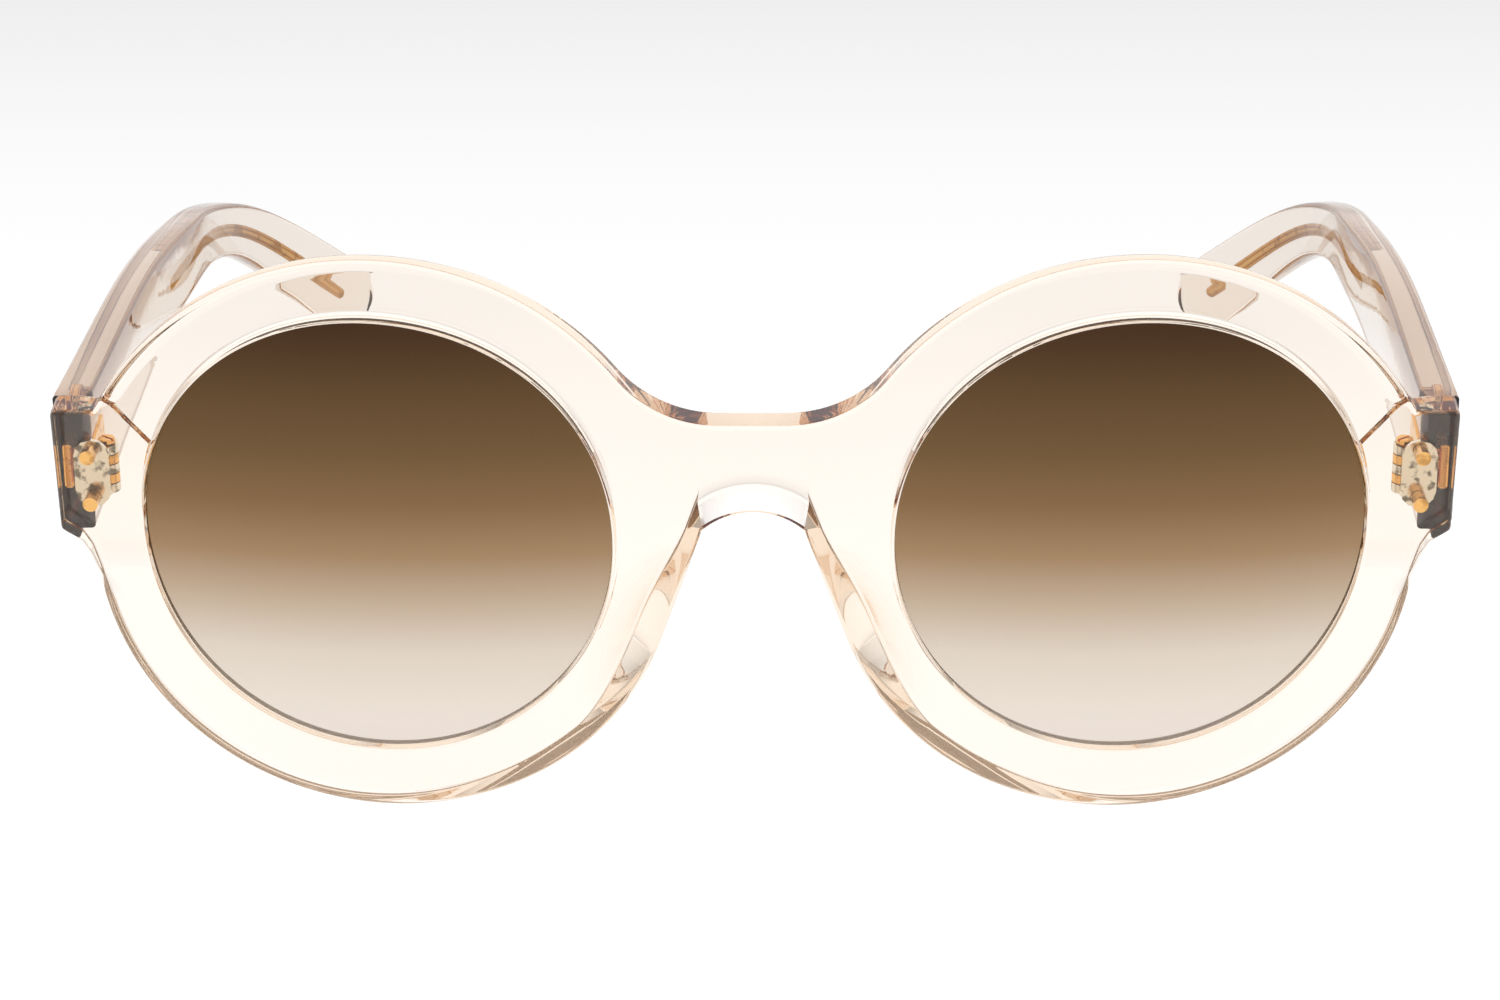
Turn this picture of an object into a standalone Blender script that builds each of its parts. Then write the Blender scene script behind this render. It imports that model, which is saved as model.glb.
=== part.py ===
"""Round sunglasses: a clear acetate front, graduated lenses, riveted hinges and core-wired temples.

The glasses stand open on a level surface, on the bottoms of the rims and the tips of the temples.
Units are metres, +Z is up and +Y runs from the front back to the temple tips. X is zero at the bridge.
Left and right are the wearer's, so right is -X. The left half is modelled and the right half mirrors it.
"""

import math

import bmesh
import bpy
import numpy as np
from mathutils import Matrix, Vector

MM = 0.001
DEG = math.pi / 180

# Lenses: round, spherically curved, held by a V bevel in the rim's groove
LENS_DIAMETER = 49.8 * MM
LENS_GAP = 28.4 * MM
LENS_THICKNESS = 2.0 * MM
LENS_CURVE_RADIUS = 125 * MM
BEVEL_HEIGHT = 0.75 * MM
BEVEL_WIDTH = 1.6 * MM
LENS_SEAT_GAP = 0.15 * MM

# Front: rims, bridge and end pieces cut from one sheet
FRONT_THICKNESS = 4.2 * MM
WRAP_ANGLE = 2.5 * DEG
BRIDGE_BEND_HALF = 9 * MM
BEND_SHARES = (0.5, 1)
RIM_BOTTOM_WIDTH = 6.6 * MM
RIM_TOP_WIDTH = 7.2 * MM
RIM_LOWER_WIDTH = 6.05 * MM
RIM_UPPER_WIDTH = 7.8 * MM
RIM_LOWER_SHIFT = 0.8 * MM
RIM_UPPER_SHIFT = 0.3 * MM
BRIDGE_RISE = 13.9 * MM
BRIDGE_HEIGHT = 9.6 * MM
BRIDGE_FILLET = 13 * MM
OPENING_CHAMFER = 0.2 * MM
FRONT_EDGE_ROUND = 0.35 * MM
BACK_EDGE_ROUND = 1.7 * MM
CORNER_ROUND = 0.7 * MM
CORNER_ROOM_SHARE = 0.45

# Nose: an arch under the bridge, tapered towards the face, with built-in pads
NOSE_HALF_WIDTH = 5.4 * MM
NOSE_ARCH_RISE = 1.9 * MM
NOSE_TAPER_ANGLE = 25 * DEG
TAPER_FADE_SHARES = (0.6, 1.3)
PAD_HEIGHT = 2.6 * MM
PAD_FOOT = 2.6 * MM
PAD_TOP_DROP = 2.5 * MM
PAD_LENGTH = 23 * MM
PAD_EDGE_ROUND = 0.8 * MM

# End pieces, which the temples butt against
END_REACH = 1.3 * MM
END_RISE = 14.3 * MM
END_HEIGHT = 13.6 * MM
END_LEAN = 0.5 * MM
END_SCOOP = 2.9 * MM
END_EDGE_ROUND = 0.25 * MM
END_EDGE_BLEND = 5 * MM
END_EDGE_PLAIN = 2 * MM

# Temples: flat acetate, tapering to the ear bend, then curving down and inward to a broad tip
TEMPLE_LENGTH = 142.8 * MM
TEMPLE_THICKNESS = 3.9 * MM
TIP_THICKNESS = 3.4 * MM
BUTT_GAP = 0.3 * MM
BUTT_DROP = 0.15 * MM
TEMPLE_BUTT_HEIGHT = 13.3 * MM
TEMPLE_FORE_HEIGHT = 11.9 * MM
TEMPLE_MIDDLE_HEIGHT = 8.2 * MM
TEMPLE_BEND_HEIGHT = 6.8 * MM
TIP_NECK_HEIGHT = 8.0 * MM
TIP_HEIGHT = 8.8 * MM
TEMPLE_CORNER_ROUND = 0.9 * MM
TEMPLE_SPLAY_ANGLE = 1.1 * DEG
SLOPE_LIMITS = (-10 * DEG, 25 * DEG)
SLOPE_STEPS = 40
DOWN_BEND_ANGLES = (7.9 * DEG, 12.6 * DEG, 20.2 * DEG, 38 * DEG, 43.3 * DEG)
IN_BEND_ANGLES = (-0.6 * DEG, 1.7 * DEG, 0.8 * DEG, 14.3 * DEG, 40 * DEG, 64 * DEG)

# Core wires, pushed in from the tip's end
WIRE_RADIUS = 0.5 * MM
WIRE_GAP = 0.25 * MM
WIRE_FRONT = 64 * MM
WIRE_TIP_MARGIN = 1.5 * MM

# Hinges: riveted leaves with five barrels on one screw
HINGE_DROP = 1.1 * MM
BARREL_RADIUS = 1.15 * MM
BARREL_STACK = 5.3 * MM
BARREL_GAP = 0.12 * MM
BARREL_SIDE_GAP = 0.22 * MM
BARREL_BACK_GAP = 0.35 * MM
FRONT_BARREL_TURN = 243 * DEG
TEMPLE_BARREL_TURN = 315 * DEG
LEAF_THICKNESS = 0.9 * MM
FRONT_LEAF_WIDTH = 3.7 * MM
FRONT_LEAF_HEIGHT = 7.5 * MM
FRONT_LEAF_CORNER = 1.8 * MM
FRONT_LEAF_LAP = 0.5 * MM
FRONT_WEB_REACH = 0.3 * MM
TEMPLE_LEAF_LENGTH = 8.6 * MM
TEMPLE_LEAF_HEIGHT = 4.9 * MM
TEMPLE_LEAF_SETBACK = 0.8 * MM
TEMPLE_LEAF_CORNER = 0.5 * MM
TEMPLE_WEB_FRONT = -0.2 * MM
TEMPLE_WEB_BACK = 0.7 * MM
LEAF_GAP = 0.12 * MM
LEAF_SINK = 0.08 * MM
SCREW_RADIUS = 0.5 * MM
SCREW_HEAD_RADIUS = 0.9 * MM
SCREW_HEAD_HEIGHT = 0.5 * MM
SCREW_SLOT_WIDTH = 0.3 * MM
SCREW_SLOT_TURN = 35 * DEG
SCREW_GAP = 0.12 * MM
RIVET_RADIUS = 0.8 * MM
RIVET_SHANK_RADIUS = 0.5 * MM
RIVET_SPACING = 5.3 * MM
TEMPLE_RIVET_SPACING = 4.6 * MM
RIVET_GAP = 0.12 * MM
RIVET_FLUSH = 0.03 * MM
CUT_OVERRUN = 1 * MM
WELD = 0.002 * MM
TURN_WELD = 0.001 * MM
MIRROR_WELD = 0.01 * MM

# Points along outlines and round pieces
RIM_STEP = 3.2 * MM
CORNER_STEPS = 3
LENS_STEPS = 64
BARREL_STEPS = 20
RIVET_STEPS = 14
WIRE_STEPS = 22
LENS_RING_SHARES = (0, 0.2, 0.4, 0.6, 0.8, 1)
SECTION_SHARES = (0, 0.02, 0.1, 0.22, 0.34, 0.44, 0.52, 0.58, 0.64)
SECTION_SHARES += (0.69, 0.74, 0.78, 0.82, 0.86, 0.9, 0.94, 0.97, 1)
TIP_ROUND_SHARES = (0.25, 0.5, 0.72, 0.88)
TIP_THINNING_SHARE = 0.35
CORNER_SHARE = 0.6
MITRE_SHARE = 0.5
HEIGHT_SHARES = (0, 0.3, 0.6, 0.75, 0.9, 1)
DOWN_BEND_SHARES = (0, 0.45, 0.6, 0.75, 0.88, 1)
IN_BEND_SHARES = (0, 0.3, 0.5, 0.65, 0.78, 0.9, 1)

LENS_RADIUS = LENS_DIAMETER / 2
OPENING_RADIUS = LENS_RADIUS - BEVEL_HEIGHT + LENS_SEAT_GAP
LENS_X = (LENS_DIAMETER + LENS_GAP) / 2
LENS_Z = RIM_BOTTOM_WIDTH + OPENING_RADIUS
RIM_LOWER_RADIUS = OPENING_RADIUS + RIM_LOWER_WIDTH
RIM_UPPER_RADIUS = OPENING_RADIUS + RIM_UPPER_WIDTH
RIM_LOWER_CENTRE = (LENS_X - RIM_LOWER_SHIFT, RIM_LOWER_RADIUS)
RIM_UPPER_CENTRE = (LENS_X + RIM_UPPER_SHIFT, LENS_Z + OPENING_RADIUS + RIM_TOP_WIDTH - RIM_UPPER_RADIUS)
BRIDGE_TOP = LENS_Z + BRIDGE_RISE
ARCH_TOP = BRIDGE_TOP - BRIDGE_HEIGHT
END_X = RIM_UPPER_CENTRE[0] + RIM_UPPER_RADIUS + END_REACH
END_TOP = LENS_Z + END_RISE
END_BOTTOM = END_TOP - END_HEIGHT
HINGE_Z = END_TOP - END_HEIGHT / 2 - HINGE_DROP
TEMPLE_INNER_X = END_X - TEMPLE_THICKNESS
AXIS_X = TEMPLE_INNER_X - BARREL_SIDE_GAP - BARREL_RADIUS
AXIS_DEPTH = FRONT_THICKNESS + BARREL_BACK_GAP + BARREL_RADIUS
BARREL_HEIGHT = (BARREL_STACK - 4 * BARREL_GAP) / 5
SCREW_BORE = SCREW_RADIUS + SCREW_GAP
RIVET_BORE = RIVET_RADIUS + RIVET_GAP
SHANK_BORE = RIVET_SHANK_RADIUS + RIVET_GAP


def start_clean():
    for old in list(bpy.data.objects):
        bpy.data.objects.remove(old)


def collection(name):
    made = bpy.data.collections.new(name)
    bpy.context.scene.collection.children.link(made)
    return made


def material(name, colour, roughness, metallic=0.0, transmission=0.0):
    made = bpy.data.materials.new(name)
    made.use_nodes = True
    shader = made.node_tree.nodes["Principled BSDF"]
    shader.inputs["Base Color"].default_value = (*colour, 1)
    shader.inputs["Roughness"].default_value = roughness
    shader.inputs["Metallic"].default_value = metallic
    shader.inputs["Transmission Weight"].default_value = transmission
    made.diffuse_color = (*colour, 1)
    return made


start_clean()
PARTS = collection("sunglasses")
CUTTERS = collection("cutters")
ACETATE = material("champagne_acetate", (0.91, 0.78, 0.64), 0.05, transmission=0.9)
TINT = material("brown_gradient_lens", (0.23, 0.14, 0.07), 0.03, transmission=0.8)
NICKEL = material("nickel_silver", (0.62, 0.56, 0.46), 0.25, metallic=1.0)
GOLD = material("gold_plate", (0.83, 0.52, 0.2), 0.22, metallic=1.0)


def wrap_depth(x):
    """How far back the front lies at x: straight wings joined by a parabola over the bridge."""
    bent = (x * x / BRIDGE_BEND_HALF + BRIDGE_BEND_HALF) / 2
    return math.tan(WRAP_ANGLE) * np.where(np.abs(x) < BRIDGE_BEND_HALF, bent, np.abs(x))


def front_frame(x, z, depth=0.0):
    """A frame on the left wing: local Z points back through the sheet and local X outward along it."""
    place = Matrix.Translation((x, float(wrap_depth(x)), z)) @ Matrix.Rotation(WRAP_ANGLE, 4, "Z")
    return place @ Matrix.Translation((0, depth, 0)) @ Matrix.Rotation(-math.pi / 2, 4, "X")


def add(mesh, name, finish, group):
    made = bpy.data.objects.new(name, mesh)
    group.objects.link(made)
    if finish:
        mesh.materials.clear()
        mesh.materials.append(finish)
    else:
        made.hide_render = True
        made.display_type = "WIRE"
    return made


def mesh_from(name, points, faces):
    mesh = bpy.data.meshes.new(name)
    mesh.from_pydata([tuple(float(v) for v in point) for point in points], [], faces)
    mesh.validate()
    return mesh


def settle(thing):
    """Makes an object's evaluated shape its own mesh, welded, with the object back at the origin."""
    bpy.context.view_layer.update()
    graph = bpy.context.evaluated_depsgraph_get()
    mesh = bpy.data.meshes.new_from_object(thing.evaluated_get(graph))
    mesh.transform(thing.matrix_world)
    work = bmesh.new()
    work.from_mesh(mesh)
    bmesh.ops.remove_doubles(work, verts=work.verts, dist=WELD)
    bmesh.ops.recalc_face_normals(work, faces=work.faces)
    work.to_mesh(mesh)
    work.free()
    mesh.name = thing.name
    return mesh


def turned(name, profile, frame, steps, finish, group):
    """A profile of (radius, height) points, top to bottom, turned about the frame's local Z."""
    points = [(radius, 0, height) for radius, height in profile]
    edges = [(i, i + 1) for i in range(len(points) - 1)]
    mesh = bpy.data.meshes.new(name)
    mesh.from_pydata(points, edges, [])
    raw = add(mesh, name + "_profile", None, CUTTERS)
    raw.matrix_world = frame
    screw = raw.modifiers.new("turn", "SCREW")
    screw.steps = steps
    screw.render_steps = steps
    screw.use_merge_vertices = True
    screw.merge_threshold = TURN_WELD
    shape = settle(raw)
    bpy.data.objects.remove(raw)
    return add(shape, name, finish, group)


def slab(name, outlines, thickness, frame, finish, group):
    """Closed outlines in the frame's XY plane, filled between them and extruded to a thickness."""
    curve = bpy.data.curves.new(name, "CURVE")
    curve.dimensions = "2D"
    curve.fill_mode = "BOTH"
    curve.extrude = thickness / 2
    for outline in outlines:
        spline = curve.splines.new("POLY")
        spline.points.add(len(outline) - 1)
        for point, (x, y) in zip(spline.points, outline):
            point.co = (x, y, 0, 1)
        spline.use_cyclic_u = True
    raw = bpy.data.objects.new(name + "_outline", curve)
    CUTTERS.objects.link(raw)
    raw.matrix_world = frame
    shape = settle(raw)
    bpy.data.objects.remove(raw)
    return add(shape, name, finish, group)


def boolean(thing, other, operation):
    cut = thing.modifiers.new(operation.lower(), "BOOLEAN")
    cut.operation = operation
    cut.object = other
    cut.solver = "EXACT"


def bake(thing):
    """Applies the modifiers, so that the shape can be mirrored or cut into others."""
    mesh = settle(thing)
    finish = thing.data.materials[0] if thing.data.materials else None
    thing.modifiers.clear()
    thing.data = mesh
    thing.matrix_world = Matrix.Identity(4)
    if finish and not mesh.materials:
        mesh.materials.append(finish)
    return thing


def smooth(thing, angle=35 * DEG):
    thing.data.shade_smooth()
    thing.data.set_sharp_from_angle(angle=angle)


def mirrored(thing, name):
    """The right-hand twin of a left-hand piece."""
    mesh = thing.data.copy()
    mesh.transform(Matrix.Scale(-1, 4, (1, 0, 0)))
    mesh.flip_normals()
    mesh.name = name
    twin = add(mesh, name, thing.data.materials[0], PARTS)
    return twin


def arc(centre, radius, start, end, step):
    """Points on a circle between two angles, about a step apart, both ends included."""
    count = max(2, round(abs(end - start) * radius / step))
    angles = np.linspace(start, end, count + 1)
    return np.stack([centre[0] + radius * np.cos(angles), centre[1] + radius * np.sin(angles)], 1)


def rounded(points, corner, radius):
    """Replaces one point of an outline by an arc tangent to the edges on its two sides."""
    before, here, after = points[corner - 1], points[corner], points[corner + 1]
    back, ahead = before - here, after - here
    room = CORNER_ROOM_SHARE * min(np.hypot(*back), np.hypot(*ahead))
    back, ahead = back / np.hypot(*back), ahead / np.hypot(*ahead)
    half = math.acos(float(np.clip(back @ ahead, -1, 1))) / 2
    reach = min(radius / math.tan(half), room)
    shares = np.linspace(0, 1, CORNER_STEPS + 1)[:, None]
    start, end = here + back * reach, here + ahead * reach
    curve = (1 - shares) ** 2 * start + 2 * shares * (1 - shares) * here + shares**2 * end
    return np.concatenate([points[:corner], curve, points[corner + 1 :]])


def angle_of(point, centre):
    return math.atan2(point[1] - centre[1], point[0] - centre[0])


def front_outline():
    """Half of the front's outline in (x, z), from the bridge's top, round the rim, to the nose arch's top."""
    upper, lower = RIM_UPPER_CENTRE, RIM_LOWER_CENTRE
    fillet_z = BRIDGE_TOP + BRIDGE_FILLET
    reach = RIM_UPPER_RADIUS + BRIDGE_FILLET
    fillet = (upper[0] - math.sqrt(reach**2 - (fillet_z - upper[1]) ** 2), fillet_z)
    meet = angle_of(fillet, upper)
    bridge = arc(fillet, BRIDGE_FILLET, -math.pi / 2, meet - math.pi, RIM_STEP)
    end_angle = math.asin((END_TOP - upper[1]) / RIM_UPPER_RADIUS)
    top = arc(upper, RIM_UPPER_RADIUS, meet, end_angle, RIM_STEP)
    end = np.array([(END_X, END_TOP), (END_X - END_LEAN, END_BOTTOM)])
    scoop_z = END_BOTTOM - END_SCOOP
    scoop_angle = math.asin((scoop_z - lower[1]) / RIM_LOWER_RADIUS)
    corner = np.array((NOSE_HALF_WIDTH, ARCH_TOP - NOSE_ARCH_RISE))
    apart = np.hypot(*(corner - lower))
    touch = angle_of(corner, lower) + math.acos(RIM_LOWER_RADIUS / apart) - 2 * math.pi
    bottom = arc(lower, RIM_LOWER_RADIUS, scoop_angle, touch, RIM_STEP)
    flank_steps = max(2, round(math.hypot(*(bottom[-1] - corner)) / RIM_STEP))
    flank = np.linspace(bottom[-1], corner, flank_steps + 1)
    arch_radius = (NOSE_HALF_WIDTH**2 + NOSE_ARCH_RISE**2) / (2 * NOSE_ARCH_RISE)
    arch_half = math.asin(NOSE_HALF_WIDTH / arch_radius)
    arch_centre = (0, ARCH_TOP - arch_radius)
    arch = arc(arch_centre, arch_radius, math.pi / 2 - arch_half, math.pi / 2, RIM_STEP / 2)
    start = np.array([(0, BRIDGE_TOP)])
    points = np.concatenate([start, bridge, top[1:], end, bottom, flank[1:], arch[1:]])
    last = len(points) - len(arch)
    points = rounded(points, last, CORNER_ROUND)
    first_end = len(start) + len(bridge) + len(top) - 1
    scoop = first_end + 2
    for corner_index in (scoop, first_end + 1, first_end, first_end - 1):
        points = rounded(points, corner_index, CORNER_ROUND)
    points[0, 0] = 0
    points[-1, 0] = 0
    return points


def inward(points):
    """Mitred normals pointing into the sheet, for half a clockwise outline that mirrors at X = 0."""
    ahead = np.roll(points, -1, 0) - points
    ahead[-1] = ahead[-2] * (1, -1)
    back = np.roll(ahead, 1, 0)
    back[0] = ahead[0] * (1, -1)
    after = np.stack([ahead[:, 1], -ahead[:, 0]], 1)
    before = np.stack([back[:, 1], -back[:, 0]], 1)
    after /= np.hypot(*after.T)[:, None]
    before /= np.hypot(*before.T)[:, None]
    middle = after + before
    middle /= np.hypot(*middle.T)[:, None]
    return middle / np.maximum((middle * after).sum(1), MITRE_SHARE)[:, None]


def ease(value, low, high):
    """Rises smoothly from 0 at low to 1 at high."""
    share = np.clip((value - low) / (high - low), 0, 1)
    return share * share * (3 - 2 * share)


def front_blank():
    """The front before its cuts: a loft whose edges go from round to square and carry the nose pads."""
    points = front_outline()
    normals = inward(points)
    steps = np.hypot(*np.diff(points, axis=0).T)
    along = np.concatenate([[0], np.cumsum(steps)])
    from_arch = along[-1] - along
    at_end = points[:, 0] > END_X - END_LEAN - 2 * CORNER_ROUND
    first, last = along[at_end][0], along[at_end][-1]
    outside = np.maximum(first - along, along - last)
    square = 1 - ease(outside, END_EDGE_PLAIN, END_EDGE_BLEND)
    back_round = BACK_EDGE_ROUND + (END_EDGE_ROUND - BACK_EDGE_ROUND) * square
    corner = NOSE_HALF_WIDTH + PAD_TOP_DROP
    pad = np.sin(math.pi * np.clip((from_arch - corner) / PAD_LENGTH, 0, 1)) * PAD_HEIGHT
    pad_end = corner + PAD_LENGTH
    fade_start, fade_end = pad_end * TAPER_FADE_SHARES[0], pad_end * TAPER_FADE_SHARES[1]
    taper = math.tan(NOSE_TAPER_ANGLE) * (1 - ease(from_arch, fade_start, fade_end))
    back_round = np.where(from_arch < pad_end, np.minimum(back_round, PAD_EDGE_ROUND), back_round)
    full = FRONT_THICKNESS + pad
    side = taper * (full - back_round - FRONT_EDGE_ROUND)
    turn = 1 - math.sqrt(0.5)
    rings = [
        (FRONT_EDGE_ROUND + 0 * pad, 0 * pad),
        (FRONT_EDGE_ROUND * turn + 0 * pad, FRONT_EDGE_ROUND * turn + 0 * pad),
        (0 * pad, FRONT_EDGE_ROUND + 0 * pad),
        (side, full - back_round),
        (side + back_round * turn, full - back_round * turn),
        (side + back_round, full),
        (side + back_round + PAD_EDGE_ROUND + PAD_FOOT * pad / PAD_HEIGHT, FRONT_THICKNESS + 0 * pad),
    ]
    cloud = []
    for inset, depth in rings:
        flat = points + normals * inset[:, None]
        flat[[0, -1], 0] = 0
        y = depth / math.cos(WRAP_ANGLE)
        cloud.append(np.stack([flat[:, 0], y, flat[:, 1]], 1))
    count = len(points)
    faces = [tuple(range(count))[::-1]]
    for ring in range(len(rings) - 1):
        for i in range(count - 1):
            a = ring * count + i
            faces.append((a, a + 1, a + 1 + count, a + count))
    faces.append(tuple(range((len(rings) - 1) * count, len(rings) * count)))
    mesh = mesh_from("front", np.concatenate(cloud), faces)
    wrap(mesh)
    blank = add(mesh, "front", ACETATE, PARTS)
    mirror = blank.modifiers.new("mirror", "MIRROR")
    mirror.merge_threshold = MIRROR_WELD
    return bake(blank)


def wrap(mesh):
    """Bends a flat half sheet back over the bridge, with edges across it where the bend runs."""
    work = bmesh.new()
    work.from_mesh(mesh)
    for share in BEND_SHARES:
        everything = work.verts[:] + work.edges[:] + work.faces[:]
        line = (share * BRIDGE_BEND_HALF, 0, 0)
        bmesh.ops.bisect_plane(work, geom=everything, plane_co=line, plane_no=(1, 0, 0))
    for vert in work.verts:
        vert.co.y += float(wrap_depth(vert.co.x))
    work.to_mesh(mesh)
    work.free()


def opening_cutter():
    """The lens opening with its V groove and a small chamfer on both edges."""
    middle = FRONT_THICKNESS / 2
    wide = OPENING_RADIUS + OPENING_CHAMFER + CUT_OVERRUN
    groove = BEVEL_WIDTH / 2 + LENS_SEAT_GAP
    profile = [
        (0, FRONT_THICKNESS + PAD_HEIGHT + CUT_OVERRUN),
        (wide, FRONT_THICKNESS + PAD_HEIGHT + CUT_OVERRUN),
        (wide, FRONT_THICKNESS + CUT_OVERRUN),
        (OPENING_RADIUS, FRONT_THICKNESS - OPENING_CHAMFER),
        (OPENING_RADIUS, middle + groove),
        (LENS_RADIUS + LENS_SEAT_GAP, middle),
        (OPENING_RADIUS, middle - groove),
        (OPENING_RADIUS, OPENING_CHAMFER),
        (wide, -CUT_OVERRUN),
        (0, -CUT_OVERRUN),
    ]
    return turned("opening", profile, front_frame(LENS_X, LENS_Z), LENS_STEPS, None, CUTTERS)


def lens():
    """A meniscus of even thickness, with the V bevel that sits in the groove."""
    shoulder = LENS_RADIUS - BEVEL_HEIGHT
    middle = FRONT_THICKNESS / 2
    radii = shoulder * np.array(LENS_RING_SHARES)
    outer, inner = LENS_CURVE_RADIUS, LENS_CURVE_RADIUS - LENS_THICKNESS

    def sag(radius, curve):
        return math.sqrt(curve**2 - radius**2) - math.sqrt(curve**2 - shoulder**2)

    back = [(r, middle + LENS_THICKNESS / 2 - sag(r, inner)) for r in radii]
    front = [(r, middle - LENS_THICKNESS / 2 - sag(r, outer)) for r in radii[::-1]]
    edge = [(LENS_RADIUS - LENS_SEAT_GAP, middle)]
    bevel = BEVEL_WIDTH / 2 - LENS_SEAT_GAP
    edge = [(shoulder, middle + bevel)] + edge + [(shoulder, middle - bevel)]
    frame = front_frame(LENS_X, LENS_Z)
    made = turned("left_lens", back + edge + front, frame, LENS_STEPS, TINT, PARTS)
    smooth(made)
    return made


def plate(width, height, corner):
    """A centred rectangle with round corners."""
    outline = []
    for quarter, (across, up) in enumerate([(1, 1), (-1, 1), (-1, -1), (1, -1)]):
        angles = (quarter + np.linspace(0, 1, CORNER_STEPS + 1)) * math.pi / 2
        centre = np.array([across * (width / 2 - corner), up * (height / 2 - corner)])
        outline.append(centre + corner * np.stack([np.cos(angles), np.sin(angles)], 1))
    return np.concatenate(outline)


def circle(radius, steps):
    angles = np.linspace(0, 2 * math.pi, steps, endpoint=False)
    return np.stack([radius * np.cos(angles), radius * np.sin(angles)], 1)


def knuckle(name, start, end, web, level, frame):
    """One hinge barrel: a ring about the axis, open from one angle to the other for its web to the leaf."""
    angles = np.linspace(start, end, BARREL_STEPS)
    outer = np.concatenate([BARREL_RADIUS * np.stack([np.cos(angles), np.sin(angles)], 1), web])
    middle = (level - 2) * (BARREL_HEIGHT + BARREL_GAP)
    place = frame @ Matrix.Translation((0, 0, middle))
    bore = circle(SCREW_BORE, RIVET_STEPS)[::-1]
    return slab(name, [outer, bore], BARREL_HEIGHT, place, None, CUTTERS)


def fused(leaf, pieces):
    """Joins knuckles to their leaf and removes the loose copies."""
    for piece in pieces:
        boolean(leaf, piece, "UNION")
    bake(leaf)
    for piece in pieces:
        bpy.data.objects.remove(piece)
    smooth(leaf)
    return leaf


def cut_by(thing, cutters):
    for cutter in cutters:
        boolean(thing, cutter, "DIFFERENCE")
    return bake(thing)


AXIS = Vector((AXIS_X, float(wrap_depth(AXIS_X)), HINGE_Z))
AXIS += Vector((-math.sin(WRAP_ANGLE), math.cos(WRAP_ANGLE), 0)) * AXIS_DEPTH
FRONT_LEAF_X = FRONT_LEAF_WIDTH / 2 - FRONT_LEAF_LAP
FRONT_LEAF_BACK = FRONT_THICKNESS - LEAF_SINK
FRONT_LEAF_FRONT = FRONT_LEAF_BACK - LEAF_THICKNESS
FRONT_TURN = Matrix.Translation(AXIS) @ Matrix.Rotation(WRAP_ANGLE, 4, "Z")
LEAF_FRAME = FRONT_TURN @ Matrix.Translation((FRONT_LEAF_X, -AXIS_DEPTH, 0))
LEAF_FRAME = LEAF_FRAME @ Matrix.Rotation(-math.pi / 2, 4, "X")
TEMPLE_TURN = Matrix.Translation(AXIS) @ Matrix.Rotation(-TEMPLE_SPLAY_ANGLE, 4, "Z")
TEMPLE_FACE = BARREL_SIDE_GAP + BARREL_RADIUS
TEMPLE_LEAF_FACE = TEMPLE_FACE + LEAF_SINK
BUTT_BACK = AXIS_DEPTH - FRONT_THICKNESS - BUTT_GAP
TEMPLE_LEAF_START = TEMPLE_LEAF_SETBACK - BUTT_BACK
TEMPLE_LEAF_MIDDLE = TEMPLE_LEAF_START + TEMPLE_LEAF_LENGTH / 2
OUTWARD = TEMPLE_TURN @ Matrix.Translation((0, TEMPLE_LEAF_MIDDLE, 0))
OUTWARD = OUTWARD @ Matrix.Rotation(math.pi / 2, 4, "Y")


def front_hinge():
    place = LEAF_FRAME @ Matrix.Translation((0, 0, FRONT_LEAF_BACK - LEAF_THICKNESS / 2))
    outline = plate(FRONT_LEAF_WIDTH, FRONT_LEAF_HEIGHT, FRONT_LEAF_CORNER)
    shifts = (-RIVET_SPACING / 2, RIVET_SPACING / 2)
    holes = [circle(SHANK_BORE, RIVET_STEPS)[::-1] + (0, shift) for shift in shifts]
    leaf = slab("left_front_hinge", [outline] + holes, LEAF_THICKNESS, place, NICKEL, PARTS)
    leaf_y = FRONT_LEAF_BACK - LEAF_THICKNESS / 2 - AXIS_DEPTH
    web = np.array([(-FRONT_WEB_REACH, leaf_y), (FRONT_WEB_REACH, leaf_y)])
    pieces = [knuckle("knuckle", 0, FRONT_BARREL_TURN, web, level, FRONT_TURN) for level in (0, 2, 4)]
    return fused(leaf, pieces)


def front_pocket():
    bottom = FRONT_LEAF_FRONT - LEAF_GAP
    top = FRONT_THICKNESS + CUT_OVERRUN
    place = LEAF_FRAME @ Matrix.Translation((0, 0, (top + bottom) / 2))
    size = (FRONT_LEAF_WIDTH + 2 * LEAF_GAP, FRONT_LEAF_HEIGHT + 2 * LEAF_GAP)
    outline = plate(*size, FRONT_LEAF_CORNER + LEAF_GAP)
    return slab("front_pocket", [outline], top - bottom, place, None, CUTTERS)


def temple_hinge():
    place = OUTWARD @ Matrix.Translation((0, 0, TEMPLE_LEAF_FACE + LEAF_THICKNESS / 2))
    outline = plate(TEMPLE_LEAF_HEIGHT, TEMPLE_LEAF_LENGTH, TEMPLE_LEAF_CORNER)
    shifts = (-TEMPLE_RIVET_SPACING / 2, TEMPLE_RIVET_SPACING / 2)
    holes = [circle(SHANK_BORE, RIVET_STEPS)[::-1] + (0, shift) for shift in shifts]
    leaf = slab("left_temple_hinge", [outline] + holes, LEAF_THICKNESS, place, GOLD, PARTS)
    leaf_x = TEMPLE_LEAF_FACE + LEAF_THICKNESS / 2
    web = np.array([(leaf_x, TEMPLE_WEB_FRONT), (leaf_x, TEMPLE_WEB_BACK)])
    ends = (math.pi / 2, TEMPLE_BARREL_TURN)
    pieces = [knuckle("knuckle", *ends, web, level, TEMPLE_TURN) for level in (1, 3)]
    return fused(leaf, pieces)


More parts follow.
